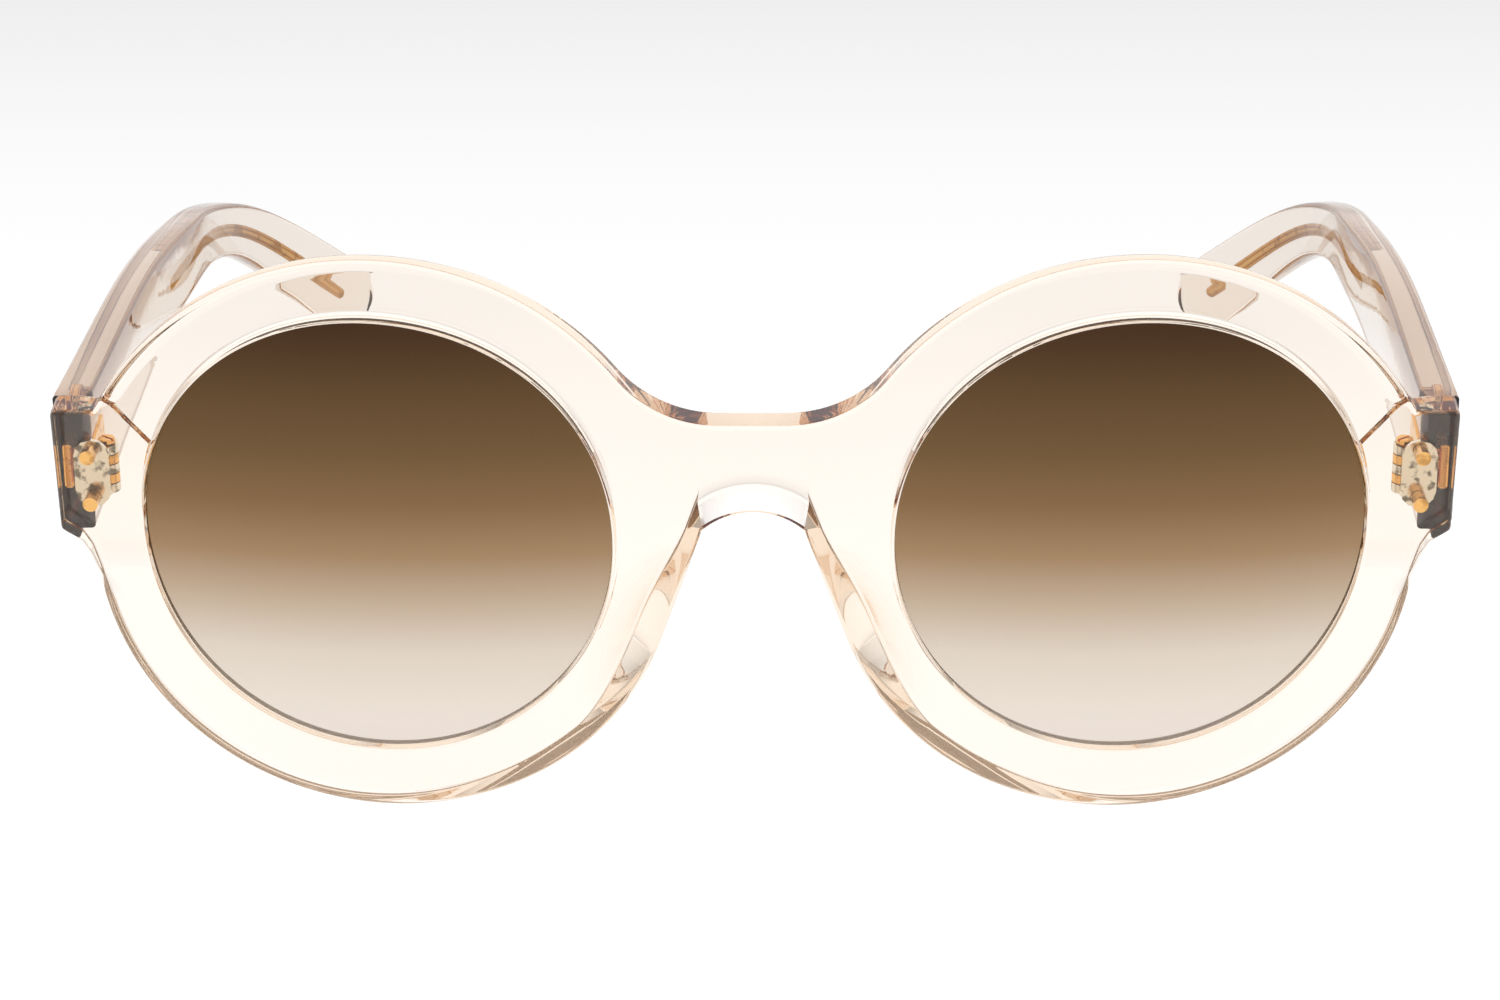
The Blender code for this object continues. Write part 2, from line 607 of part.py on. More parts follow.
def temple_pocket():
    bottom = TEMPLE_FACE - CUT_OVERRUN
    top = TEMPLE_LEAF_FACE + LEAF_THICKNESS + LEAF_GAP
    place = OUTWARD @ Matrix.Translation((0, 0, (top + bottom) / 2))
    size = (TEMPLE_LEAF_HEIGHT + 2 * LEAF_GAP, TEMPLE_LEAF_LENGTH + 2 * LEAF_GAP)
    outline = plate(*size, TEMPLE_LEAF_CORNER + LEAF_GAP)
    return slab("temple_pocket", [outline], top - bottom, place, None, CUTTERS)


def rivet(name, frame, wall):
    """A rivet from the wall's outer face at the frame's origin, through its leaf on the far side."""
    leaf_back = wall - LEAF_SINK
    step = leaf_back - LEAF_THICKNESS - RIVET_GAP
    profile = [
        (0, leaf_back),
        (RIVET_SHANK_RADIUS, leaf_back),
        (RIVET_SHANK_RADIUS, step),
        (RIVET_RADIUS, step),
        (RIVET_RADIUS, RIVET_FLUSH),
        (0, RIVET_FLUSH),
    ]
    made = turned(name, profile, frame, RIVET_STEPS, GOLD, PARTS)
    smooth(made)
    return made


def rivet_hole(frame, wall):
    profile = [(0, wall), (RIVET_BORE, wall), (RIVET_BORE, -CUT_OVERRUN), (0, -CUT_OVERRUN)]
    return turned("rivet_hole", profile, frame, RIVET_STEPS, None, CUTTERS)


def screw():
    """The hinge screw: a shaft through the five barrels, with a slotted head above the top one."""
    top = BARREL_STACK / 2 + BARREL_GAP
    profile = [
        (0, top + SCREW_HEAD_HEIGHT),
        (SCREW_HEAD_RADIUS - SCREW_GAP, top + SCREW_HEAD_HEIGHT),
        (SCREW_HEAD_RADIUS, top + SCREW_HEAD_HEIGHT - SCREW_GAP),
        (SCREW_HEAD_RADIUS, top),
        (SCREW_RADIUS, top),
        (SCREW_RADIUS, -top),
        (0, -top),
    ]
    made = turned("left_hinge_screw", profile, FRONT_TURN, RIVET_STEPS, GOLD, PARTS)
    slot_top = top + SCREW_HEAD_HEIGHT + CUT_OVERRUN
    slot_bottom = top + SCREW_HEAD_HEIGHT / 2
    half, reach = SCREW_SLOT_WIDTH / 2, SCREW_HEAD_RADIUS + CUT_OVERRUN
    outline = np.array([(-reach, -half), (reach, -half), (reach, half), (-reach, half)])
    place = FRONT_TURN @ Matrix.Rotation(SCREW_SLOT_TURN, 4, "Z")
    place = place @ Matrix.Translation((0, 0, (slot_top + slot_bottom) / 2))
    slot = slab("slot", [outline], slot_top - slot_bottom, place, None, CUTTERS)
    cut_by(made, [slot])
    bpy.data.objects.remove(slot)
    smooth(made)
    return made


def through_points(value, at, heights):
    """A smooth curve through given heights, by cubic Hermite spans with averaged slopes."""
    at, heights = np.asarray(at), np.asarray(heights)
    slopes = np.gradient(heights, at)
    slopes[0] = (heights[1] - heights[0]) / (at[1] - at[0])
    slopes[-1] = (heights[-1] - heights[-2]) / (at[-1] - at[-2])
    span = np.clip(np.searchsorted(at, value, side="right") - 1, 0, len(at) - 2)
    width = at[span + 1] - at[span]
    t = (value - at[span]) / width
    rise = heights[span + 1] - heights[span]
    start, end = slopes[span] * width, slopes[span + 1] * width
    return heights[span] + t * (start + t * (3 * rise - 2 * start - end + t * (start + end - 2 * rise)))


def temple_line(slope, lengths):
    """Centres and axes of the left temple's sections at some lengths from the butt.

    It runs back at a steady slope and splay, then turns down and inward at smoothly growing angles.
    """
    fine = np.linspace(0, TEMPLE_LENGTH, 400)
    down_angles = [slope, *DOWN_BEND_ANGLES]
    in_angles = [-TEMPLE_SPLAY_ANGLE, *IN_BEND_ANGLES]
    down = through_points(fine, TEMPLE_LENGTH * np.array(DOWN_BEND_SHARES), down_angles)
    inner = through_points(fine, TEMPLE_LENGTH * np.array(IN_BEND_SHARES), in_angles)
    heading = np.stack([-np.sin(inner) * np.cos(down), np.cos(inner) * np.cos(down), -np.sin(down)], 1)
    steps = (heading[1:] + heading[:-1]) / 2 * (fine[1] - fine[0])
    start_x = END_X - TEMPLE_THICKNESS / 2
    start_y = float(wrap_depth(start_x)) + (FRONT_THICKNESS + BUTT_GAP) / math.cos(WRAP_ANGLE)
    start = np.array([start_x, start_y, END_TOP - BUTT_DROP - TEMPLE_BUTT_HEIGHT / 2])
    centres = start + np.concatenate([[np.zeros(3)], np.cumsum(steps, 0)])
    side = np.stack([np.cos(inner), np.sin(inner), 0 * inner], 1)

    def at(table):
        return np.stack([np.interp(lengths, fine, table[:, k]) for k in range(3)], 1)

    centre, heading, side = at(centres), at(heading), at(side)
    heading /= np.linalg.norm(heading, axis=1)[:, None]
    side /= np.linalg.norm(side, axis=1)[:, None]
    return centre, side, np.cross(side, heading)


def temple_sections():
    """Lengths of the temple's sections and their half heights and half thicknesses."""
    tip_round = TIP_HEIGHT / 2
    straight = np.array(SECTION_SHARES) * (TEMPLE_LENGTH - tip_round)
    round_angles = np.array(TIP_ROUND_SHARES) * math.pi / 2
    lengths = np.concatenate([straight, TEMPLE_LENGTH - tip_round + tip_round * np.sin(round_angles)])
    heights = [TEMPLE_BUTT_HEIGHT, TEMPLE_FORE_HEIGHT, TEMPLE_MIDDLE_HEIGHT, TEMPLE_BEND_HEIGHT]
    heights += [TIP_NECK_HEIGHT, TIP_HEIGHT]
    half = through_points(lengths, TEMPLE_LENGTH * np.array(HEIGHT_SHARES), heights) / 2
    thick = np.interp(lengths, [0, TEMPLE_LENGTH], [TEMPLE_THICKNESS, TIP_THICKNESS]) / 2
    fade = np.concatenate([np.ones(len(straight)), np.cos(round_angles)])
    return lengths, half * fade, thick * (1 - (1 - fade) * TIP_THINNING_SHARE)


def temple_points(slope):
    lengths, halves, thicks = temple_sections()
    centre, side, up = temple_line(slope, lengths)
    rings = []
    for i in range(len(lengths)):
        corner = min(TEMPLE_CORNER_ROUND, CORNER_SHARE * halves[i], CORNER_SHARE * thicks[i])
        ring = plate(2 * thicks[i], 2 * halves[i], corner)
        rings.append(centre[i] + ring[:, :1] * side[i] + ring[:, 1:] * up[i])
    butt = rings[0]
    butt[:, 1] = wrap_depth(butt[:, 0]) + (FRONT_THICKNESS + BUTT_GAP) / math.cos(WRAP_ANGLE)
    return np.array(rings)


def resting_slope():
    """The temple's slope that sets its tip on the same level as the rims' lowest points."""
    low, high = SLOPE_LIMITS
    for _ in range(SLOPE_STEPS):
        middle = (low + high) / 2
        if temple_points(middle)[:, :, 2].min() > 0:
            low = middle
        else:
            high = middle
    return low


def temple(slope):
    rings = temple_points(slope)
    count = rings.shape[1]
    faces = [tuple(range(count))]
    for ring in range(len(rings) - 1):
        for i in range(count):
            a, b = ring * count + i, ring * count + (i + 1) % count
            faces.append((a, a + count, b + count, b))
    faces.append(tuple(range((len(rings) - 1) * count, len(rings) * count))[::-1])
    mesh = mesh_from("left_temple", rings.reshape(-1, 3), faces)
    return add(mesh, "left_temple", ACETATE, PARTS)


def wire(name, slope, start, end, radius, finish, group):
    """A round wire along the temple's centre line."""
    centre = temple_line(slope, np.linspace(start, end, WIRE_STEPS))[0]
    curve = bpy.data.curves.new(name, "CURVE")
    curve.dimensions = "3D"
    curve.bevel_depth = radius
    curve.bevel_resolution = 2
    curve.use_fill_caps = True
    spline = curve.splines.new("POLY")
    spline.points.add(len(centre) - 1)
    for point, place in zip(spline.points, centre):
        point.co = (*place, 1)
    raw = bpy.data.objects.new(name + "_line", curve)
    CUTTERS.objects.link(raw)
    shape = settle(raw)
    bpy.data.objects.remove(raw)
    made = add(shape, name, finish, group)
    smooth(made)
    return made


def build():
    front = front_blank()
    opening = opening_cutter()
    pocket = front_pocket()
    rivet_frames = [
        LEAF_FRAME @ Matrix.Translation((0, shift, 0)) for shift in (-RIVET_SPACING / 2, RIVET_SPACING / 2)
    ]
    holes = [rivet_hole(frame, FRONT_THICKNESS) for frame in rivet_frames]
    cutters = [opening, pocket] + holes
    twins = []
    for cutter in cutters:
        mesh = cutter.data.copy()
        mesh.transform(Matrix.Scale(-1, 4, (1, 0, 0)))
        mesh.flip_normals()
        twins.append(add(mesh, "right_" + cutter.name, None, CUTTERS))
    cut_by(front, cutters + twins)
    smooth(front)

    slope = resting_slope()
    left = temple(slope)
    outer = TEMPLE_FACE + TEMPLE_THICKNESS
    inward_frames = [
        OUTWARD @ Matrix.Translation((0, shift, outer)) @ Matrix.Rotation(math.pi, 4, "X")
        for shift in (-TEMPLE_RIVET_SPACING / 2, TEMPLE_RIVET_SPACING / 2)
    ]
    bore_ends = (WIRE_FRONT - WIRE_GAP, TEMPLE_LENGTH + CUT_OVERRUN)
    bore = wire("core_bore", slope, *bore_ends, WIRE_RADIUS + WIRE_GAP, None, CUTTERS)
    holes = [rivet_hole(frame, TEMPLE_THICKNESS) for frame in inward_frames]
    cut_by(left, [temple_pocket(), bore] + holes)
    smooth(left)

    fixed = [lens(), front_hinge(), screw()]
    names = ("upper", "lower")
    fixed += [rivet("left_front_rivet_" + n, f, FRONT_THICKNESS) for n, f in zip(names, rivet_frames)]
    moving = [left, temple_hinge()]
    wire_end = TEMPLE_LENGTH - WIRE_TIP_MARGIN
    moving.append(wire("left_core_wire", slope, WIRE_FRONT, wire_end, WIRE_RADIUS, GOLD, PARTS))
    names = ("front", "rear")
    moving += [rivet("left_temple_rivet_" + n, f, TEMPLE_THICKNESS) for n, f in zip(names, inward_frames)]
    twins = [mirrored(piece, piece.name.replace("left", "right")) for piece in moving]
    for side, group in (("left", moving), ("right", twins)):
        pivot = bpy.data.objects.new(side + "_temple_axis", None)
        PARTS.objects.link(pivot)
        pivot.location = AXIS if side == "left" else AXIS * Vector((-1, 1, 1))
        for piece in group:
            piece.data.transform(Matrix.Translation(-pivot.location))
            piece.parent = pivot
    for piece in fixed:
        mirrored(piece, piece.name.replace("left", "right"))
    bpy.context.view_layer.update()
    depths = [(p.matrix_world @ v.co).y for p in PARTS.objects if p.data for v in p.data.vertices]
    back = Matrix.Translation((0, -(min(depths) + max(depths)) / 2, 0))
    for piece in PARTS.objects:
        if piece.data and not piece.parent:
            piece.data.transform(back)
        elif not piece.data:
            piece.location = back @ piece.location


build()
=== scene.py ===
"""Round sunglasses of clear champagne acetate with graduated brown lenses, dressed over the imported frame.

Pieces are worked out in mm: X to the wearer's left, Y back from the front's face and Z up from the table."""

import math

import bmesh
import bpy
import numpy as np
from mathutils import Matrix, Vector
from mathutils.geometry import delaunay_2d_cdt


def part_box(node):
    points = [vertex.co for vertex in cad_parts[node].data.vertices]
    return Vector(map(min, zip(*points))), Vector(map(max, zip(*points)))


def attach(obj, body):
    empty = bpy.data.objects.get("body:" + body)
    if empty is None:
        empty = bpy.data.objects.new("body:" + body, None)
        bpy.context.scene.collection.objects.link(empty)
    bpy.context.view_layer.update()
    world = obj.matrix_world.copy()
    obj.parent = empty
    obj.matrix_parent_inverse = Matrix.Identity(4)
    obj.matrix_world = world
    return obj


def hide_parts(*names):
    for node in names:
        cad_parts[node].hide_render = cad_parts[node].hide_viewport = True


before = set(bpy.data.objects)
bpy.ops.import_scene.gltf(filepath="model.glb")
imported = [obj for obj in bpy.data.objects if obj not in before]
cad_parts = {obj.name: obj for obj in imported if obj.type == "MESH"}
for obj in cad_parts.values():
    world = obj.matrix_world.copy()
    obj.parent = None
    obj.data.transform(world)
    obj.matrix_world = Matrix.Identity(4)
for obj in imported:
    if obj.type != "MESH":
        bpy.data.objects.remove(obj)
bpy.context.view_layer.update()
scene = bpy.context.scene


# Camera: a long lens half a metre away, looking 25 degrees down on the upright front, as in the photo.
# It stands a little to one side and is tilted by half a degree. FRONT_Y is where the two wings' faces would
# meet, just ahead of the front's rounded middle.
MM = 0.001
DEG = math.pi / 180
MIDDLE_SET_BACK = 0.1965
FRONT_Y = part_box("front")[0][1] - MIDDLE_SET_BACK * MM
CAMERA_SIDE, CAMERA_AHEAD, CAMERA_HEIGHT = 9.99, 426.26, 235.5
YAW, PITCH, ROLL = -1.38 * DEG, 25.0 * DEG, -0.545 * DEG

camera_data = bpy.data.cameras.new("camera")
camera_data.lens = 109.95
camera_data.sensor_width = 36
camera = bpy.data.objects.new("camera", camera_data)
scene.collection.objects.link(camera)
ahead = Vector((math.sin(YAW) * math.cos(PITCH), math.cos(YAW) * math.cos(PITCH), -math.sin(PITCH)))
level = Vector((math.cos(YAW), -math.sin(YAW), 0))
upward = level.cross(ahead)
across = math.cos(ROLL) * level + math.sin(ROLL) * upward
above = -math.sin(ROLL) * level + math.cos(ROLL) * upward
turned = Matrix((across, above, -ahead)).transposed().to_4x4()
stand = Matrix.Translation((CAMERA_SIDE * MM, FRONT_Y - CAMERA_AHEAD * MM, CAMERA_HEIGHT * MM))
camera.matrix_world = stand @ turned
scene.camera = camera
scene.view_settings.view_transform = "Standard"
scene.cycles.max_bounces = 32
scene.cycles.glossy_bounces = 32
scene.cycles.transmission_bounces = 32


# Studio: the inside of a white light tent, evenly lit, with a dimmer zone low on the camera's side, where
# the room shows through its opening. That zone draws the darker bands in the acetate's polished edges.
def linear(code):
    """An sRGB hex colour as linear RGB: a straight line near black and a power of 2.4 above it."""
    shares = [int(code[i : i + 2], 16) / 255 for i in (1, 3, 5)]
    return [s / 12.92 if s <= 0.04045 else ((s + 0.055) / 1.055) ** 2.4 for s in shares]


def node(tree, kind, inputs=None, stops=(), **settings):
    """Adds a shader node with its settings, its values or linked sockets, and a ramp's (place, hex) stops."""
    made = tree.nodes.new(kind)
    for name, value in settings.items():
        setattr(made, name, value)
    for name, value in (inputs or {}).items():
        socket = made.inputs[name]
        if isinstance(value, bpy.types.NodeSocket):
            tree.links.new(value, socket)
        else:
            socket.default_value = value
    if stops:
        band = made.color_ramp.elements
        for position, code in stops[1:-1]:
            band.new(position).color = (*linear(code), 1)
        for element, (position, code) in ((band[0], stops[0]), (band[-1], stops[-1])):
            element.position = position
            element.color = (*linear(code), 1)
    return made


ROOM_LOW, ROOM_HIGH = 0.02, 0.45
ROOM_AHEAD, ROOM_BACK = -0.2, 0.5
DIM, BRIGHT = 0.55, 1.2

world = bpy.data.worlds.new("studio")
scene.world = world
world.use_nodes = True
tree = world.node_tree
tree.nodes.clear()
direction = node(tree, "ShaderNodeTexCoord").outputs["Generated"]
parts = node(tree, "ShaderNodeSeparateXYZ", {0: direction}).outputs
height = {"Value": parts["Z"], "From Min": ROOM_LOW, "From Max": ROOM_HIGH}
height = node(tree, "ShaderNodeMapRange", height, interpolation_type="SMOOTHSTEP").outputs[0]
behind = {"Value": parts["Y"], "From Min": ROOM_AHEAD, "From Max": ROOM_BACK}
behind = node(tree, "ShaderNodeMapRange", behind, interpolation_type="SMOOTHSTEP").outputs[0]
either = node(tree, "ShaderNodeMath", {0: height, 1: behind}, operation="MAXIMUM").outputs[0]
brightness = node(tree, "ShaderNodeMapRange", {"Value": either, "To Min": DIM, "To Max": BRIGHT}).outputs[0]
sky = node(tree, "ShaderNodeBackground", {"Color": (1, 1, 1, 1), "Strength": brightness}).outputs[0]
node(tree, "ShaderNodeOutputWorld", {"Surface": sky})


# Floor: a sweep of matt white paper that glows as if lit from below and behind, so that it stays white under
# the glasses. Its colour holds painted shade: a light grey behind them, and white again beyond the picture
# for the acetate to reflect.
def material(name):
    """A new material and its emptied node tree."""
    made = bpy.data.materials.new(name)
    made.use_nodes = True
    made.node_tree.nodes.clear()
    return made, made.node_tree


FLOOR_REACH = 4.0
NEAR, FAR = -0.2, 0.4
# Painted shade by depth: white near the glasses, light grey behind them, white again far off.
SHADE = [(0, "#FFFFFF"), (0.3, "#FFFFFF"), (0.455, "#EDEDED"), (0.55, "#E7E7E7"), (0.68, "#DADADA")]
SHADE += [(0.8, "#F4F4F4"), (1, "#FFFFFF")]
GLOW = 0.53
MATT_SHARE = 0.22

paper, tree = material("white_paper")
place = node(tree, "ShaderNodeTexCoord").outputs["Object"]
depth = node(tree, "ShaderNodeSeparateXYZ", {0: place}).outputs["Y"]
depth = node(tree, "ShaderNodeMapRange", {"Value": depth, "From Min": NEAR, "From Max": FAR}).outputs[0]
shade = node(tree, "ShaderNodeValToRGB", {"Fac": depth}, stops=SHADE).outputs["Color"]
glow = node(tree, "ShaderNodeEmission", {"Color": shade, "Strength": GLOW}).outputs[0]
matt = node(tree, "ShaderNodeBsdfDiffuse", {"Color": shade}).outputs[0]
blend = node(tree, "ShaderNodeMixShader", {"Fac": MATT_SHARE, 1: glow, 2: matt}).outputs[0]
blend = node(tree, "ShaderNodeAddShader", {0: blend, 1: glow}).outputs[0]
node(tree, "ShaderNodeOutputMaterial", {"Surface": blend})

mesh = bpy.data.meshes.new("floor")
corners = [(-FLOOR_REACH, -FLOOR_REACH, 0), (FLOOR_REACH, -FLOOR_REACH, 0)]
corners += [(FLOOR_REACH, FLOOR_REACH, 0), (-FLOOR_REACH, FLOOR_REACH, 0)]
mesh.from_pydata(corners, [], [(0, 1, 2, 3)])
mesh.materials.append(paper)
floor = bpy.data.objects.new("floor", mesh)
scene.collection.objects.link(floor)


# Front: rims, bridge, nose pads and end pieces, cut from one sheet of champagne acetate and tumbled smooth.
# It is crisp in front and rounded behind, thicker at the end blocks, behind a slanting crease, and at the
# carved nose pads. Each wing leans back by 2.5 degrees.
SWELL = 5
SWELL_HEIGHT = 0.05
HAZE = 0.02


def clear_acetate(name, colour, density):
    """Clear tumbled acetate: the thicker it is, the browner it looks, and its gloss swells faintly.

    Tumbling leaves swells a few mm long and a trace of haze, so that it mirrors less sharply than glass."""
    made, tree = material(name)
    place = node(tree, "ShaderNodeTexCoord").outputs["Object"]
    swell = {"Vector": place, "Scale": 1 / (SWELL * MM), "Detail": 1.0}
    swell = node(tree, "ShaderNodeTexNoise", swell).outputs["Fac"]
    relief = {"Height": swell, "Strength": 0.2, "Distance": SWELL_HEIGHT * MM}
    relief = node(tree, "ShaderNodeBump", relief).outputs[0]
    haze = {"Value": swell, "From Min": 0.35, "From Max": 0.65, "To Min": 0.0, "To Max": HAZE}
    haze = node(tree, "ShaderNodeMapRange", haze).outputs[0]
    polish = {"Base Color": (1, 1, 1, 1), "Roughness": haze, "IOR": 1.49, "Transmission Weight": 1.0}
    body = node(tree, "ShaderNodeBsdfPrincipled", polish | {"Normal": relief}).outputs[0]
    depth_colour = {"Color": (*linear(colour), 1), "Density": density}
    depth_colour = node(tree, "ShaderNodeVolumeAbsorption", depth_colour).outputs[0]
    node(tree, "ShaderNodeOutputMaterial", {"Surface": body, "Volume": depth_colour})
    return made


acetate = clear_acetate("champagne_acetate", "#DFB159", density=66.0)

# Places and radii seen from the front.
LENS_X, LENS_Z = 39.1, 30.9
OPEN_R = 24.5
LENS_WAVES = [(0.394, 98.7), (0.34, 91.7), (0.217, 109.5), (0.112, -171.8)]
WRAP = 2.5 * DEG
WRAP_BEND = 9
BRIDGE_TOP = 44.8
BRIDGE_FILLET = 13
UPPER_X, UPPER_Z, UPPER_R = 39.4, 30.3, 32.1
LOWER_X, LOWER_Z, LOWER_R = 38.3, 30.35, 30.35
END_TOP = (72.45, 45.2)
END_BOTTOM = (72.15, 31.7)
SCOOP = [(70.2, 30.5), (69.3, 29)]
SCOOP_FOOT = 26.5
NOSE_CORNER = (5.25, 32.9)
ARCH_TOP = 35
CORNER_ROUND = 0.7
EDGE_STEP, ARC_STEP, ARCH_STEP = 0.35, 0.7, 0.3
FLANK_POINTS = 12

# Depths back from the face, and where one runs into the next.
RIM = 3.6
BRIDGE = 3.8
BRIDGE_ACROSS, BRIDGE_UP = (8, 22), (20, 41)
BLOCK_EXTRA = 0.8
BLOCK_FADE = (26, 30)
CREASE_TOP = np.array((66.8, 45.7))
CREASE_SIDE = np.array((0.748, -0.664))
CREASE_FROM, CREASE_TO = -0.3, 0.4
PAD = 2.3
PAD_FROM, PAD_LENGTH = 7, 27
PAD_SPREAD = 6.8
PAD_PINCH = 1.4

# Rounds and leans of the edge, and how far from the bridge's top, the end or the arch's top they fade.
FRONT_ROUND = 0.5
RIM_BACK, END_BACK, BRIDGE_BACK, FLANK_BACK, ARCH_BACK = 2.2, 0.25, 0.3, 0.5, 2.0
FLANK_LEAN, ARCH_LEAN = 25 * DEG, 38 * DEG
BRIDGE_FADE, END_FADE, FLANK_FADE = (10, 45), (2, 6), (36, 70)
END_FLAT = 71.4
SCOOP_IN, SCOOP_MIDDLE, SCOOP_HALF = 69.2, 30, 1.5
ROUND_RINGS, WALL_RINGS = 6, 30

# A lens opening's rounds, V groove and flares, which carry its cut clear of the sheet.
OPEN_BACK, OPEN_FRONT = 0.7, 0.35
BACK_TURN = 0.85
GROOVE, GROOVE_Y = 0.35, 2.1
BACK_FLARE = [(0.85, 9), (0.75, 4.6)]
FRONT_FLARE = [(0.65, -0.02), (2, -1.5)]
OPEN_STEPS = 256

# Spacing of the points that shape the back, and how clear they stay of the edge, the middle and each other.
BEYOND_ROUND = 1.5
GRID = 0.6
EDGE_CLEAR = 0.2
MIDDLE_CLEAR = 0.1
FLANK_ROWS = 0.3 * np.arange(1, 24)
FLANK_START, FLANK_END = 1, 42
FLANK_CLEAR = 7.1
CREASE_ROWS = (CREASE_FROM, -0.07, 0.16, CREASE_TO)
CREASE_STEPS = np.arange(0.7, 9, 0.35)
CREASE_CLEAR = 0.3
CREASE_MARGIN = 0.4
SAME_PLACE = 1e-4


def mesh_from(name, points, faces):
    """A mesh of an array of points and a list of faces."""
    mesh = bpy.data.meshes.new(name)
    mesh.from_pydata(points.tolist(), [], faces)
    return mesh


def settle(thing):
    """Applies an object's modifiers to its mesh."""
    bpy.context.view_layer.update()
    graph = bpy.context.evaluated_depsgraph_get()
    mesh = bpy.data.meshes.new_from_object(thing.evaluated_get(graph))
    thing.modifiers.clear()
    thing.data = mesh


def lathe(name, profile, steps, place, shape=None):
    """A profile of (radius, height) points turned about local Z, closed by radius 0 at both ends.

    Each radius is multiplied by the shape's share at its angle."""
    angles = np.linspace(0, 2 * math.pi, steps, endpoint=False)
    shares = np.ones(steps) if shape is None else shape(angles)
    radii, heights = np.array(profile, float)[1:-1].T
    turned = np.stack([shares * np.cos(angles), shares * np.sin(angles), 0 * angles], 1)
    rings = len(radii)
    points = radii[:, None, None] * turned + heights[:, None, None] * (0, 0, 1)
    poles = [(0, 0, profile[0][1]), (0, 0, profile[-1][1])]
    points = np.concatenate([points.reshape(-1, 3), poles])
    here, beside = np.arange(steps), np.roll(np.arange(steps), -1)
    first, last = rings * steps + 0 * here, rings * steps + 1 + 0 * here
    faces = np.stack([first, beside, here], 1).tolist()
    top = (rings - 1) * steps
    faces += np.stack([last, top + here, top + beside], 1).tolist()
    level = steps * np.arange(rings - 1)[:, None]
    walls = np.stack([level + here, level + beside, level + steps + beside, level + steps + here], -1)
    faces += walls.reshape(-1, 4).tolist()
    mesh = mesh_from(name, points, faces)
    work = bmesh.new()
    work.from_mesh(mesh)
    bmesh.ops.recalc_face_normals(work, faces=work.faces)
    work.to_mesh(mesh)
    work.free()
    mesh.transform(place)
    return mesh


def wrap_depth(x):
    """How far back the front lies at x: straight wings at the wrap angle, with a parabola between them."""
    x = np.abs(x)
    return math.tan(WRAP) * np.where(x < WRAP_BEND, (x * x / WRAP_BEND + WRAP_BEND) / 2, x)


def arc(centre, radius, start, end, step=ARC_STEP):
    """Points on a circle from one angle to another, about a step apart."""
    count = max(2, round(abs(end - start) * radius / step))
    angles = np.linspace(start, end, count + 1)
    return np.stack([centre[0] + radius * np.cos(angles), centre[1] + radius * np.sin(angles)], 1)


def rounded(points, corner, radius, steps=8):
    """One outline corner replaced by a parabola, tangent to both edges and within their near halves."""
    before, here, after = points[corner - 1], points[corner], points[corner + 1]
    back, forth = before - here, after - here
    room = 0.45 * min(np.hypot(*back), np.hypot(*forth))
    back, forth = back / np.hypot(*back), forth / np.hypot(*forth)
    half = math.acos(float(np.clip(back @ forth, -1, 1))) / 2
    reach = max(min(radius / math.tan(half), room), 1e-6)
    t = np.linspace(0, 1, steps + 1)[:, None]
    start, end = here + back * reach, here + forth * reach
    curve = (1 - t) ** 2 * start + 2 * t * (1 - t) * here + t**2 * end
    return np.concatenate([points[:corner], curve, points[corner + 1 :]])


def lengths_along(points):
    """Length of an outline up to each of its points."""
    return np.concatenate([[0], np.cumsum(np.hypot(*np.diff(points, axis=0).T))])


def resampled(points, step):
    """The same outline with points an even step apart."""
    along = lengths_along(points)
    even = np.linspace(0, along[-1], round(along[-1] / step) + 1)
    return np.stack([np.interp(even, along, points[:, k]) for k in range(2)], 1)


def front_outline():
    """The left half's edge: bridge fillet, upper rim, end piece, scoop, lower rim, nose flank and nose arch.

    The rim is two circles. The fillet touches the upper one, the flank is tangent to the lower one, and the
    arch is a circle through both nose corners. Gives the points and the nose corner's place among them."""
    upper, lower = np.array((UPPER_X, UPPER_Z)), np.array((LOWER_X, LOWER_Z))
    reach = UPPER_R + BRIDGE_FILLET
    fillet_z = BRIDGE_TOP + BRIDGE_FILLET
    fillet = np.array((upper[0] - math.sqrt(reach**2 - (fillet_z - upper[1]) ** 2), fillet_z))
    meet = math.atan2(*(fillet - upper)[::-1])
    bridge = arc(fillet, BRIDGE_FILLET, -math.pi / 2, meet - math.pi)
    top = arc(upper, UPPER_R, meet, math.asin((END_TOP[1] - upper[1]) / UPPER_R))
    end = np.array([END_TOP, END_BOTTOM, *SCOOP])
    corner = np.array(NOSE_CORNER)
    apart = np.hypot(*(corner - lower))
    touch = math.atan2(*(corner - lower)[::-1]) + math.acos(LOWER_R / apart) - 2 * math.pi
    bottom = arc(lower, LOWER_R, math.asin((SCOOP_FOOT - lower[1]) / LOWER_R), touch)
    flank = np.linspace(bottom[-1], corner, FLANK_POINTS)
    rise = ARCH_TOP - corner[1]
    arch_r = (corner[0] ** 2 + rise**2) / (2 * rise)
    half = math.asin(corner[0] / arch_r)
    arch = arc((0, ARCH_TOP - arch_r), arch_r, math.pi / 2 - half, math.pi / 2, ARCH_STEP)
    points = np.concatenate([[(0, BRIDGE_TOP)], bridge, top[1:], end, bottom, flank[1:]])
    first = len(bridge) + len(top)
    for place in (first + len(end), first + 1, first, first - 1):
        points = rounded(points, place, CORNER_ROUND)
    points = resampled(points, EDGE_STEP)
    return np.concatenate([points, arch[1:]]), len(points) - 1


def ease(value, low, high):
    """A smooth step from 0 at low to 1 at high: t^2 (3 - 2 t)."""
    share = np.clip((value - low) / (high - low), 0, 1)
    return share * share * (3 - 2 * share)


def end_block(points):
    """Share of the end block's extra thickness: 1 beyond the slanting crease, fading out at its foot."""
    beyond = (points - CREASE_TOP) @ CREASE_SIDE
    return ease(beyond, CREASE_FROM, CREASE_TO) * ease(points[:, 1], *BLOCK_FADE)


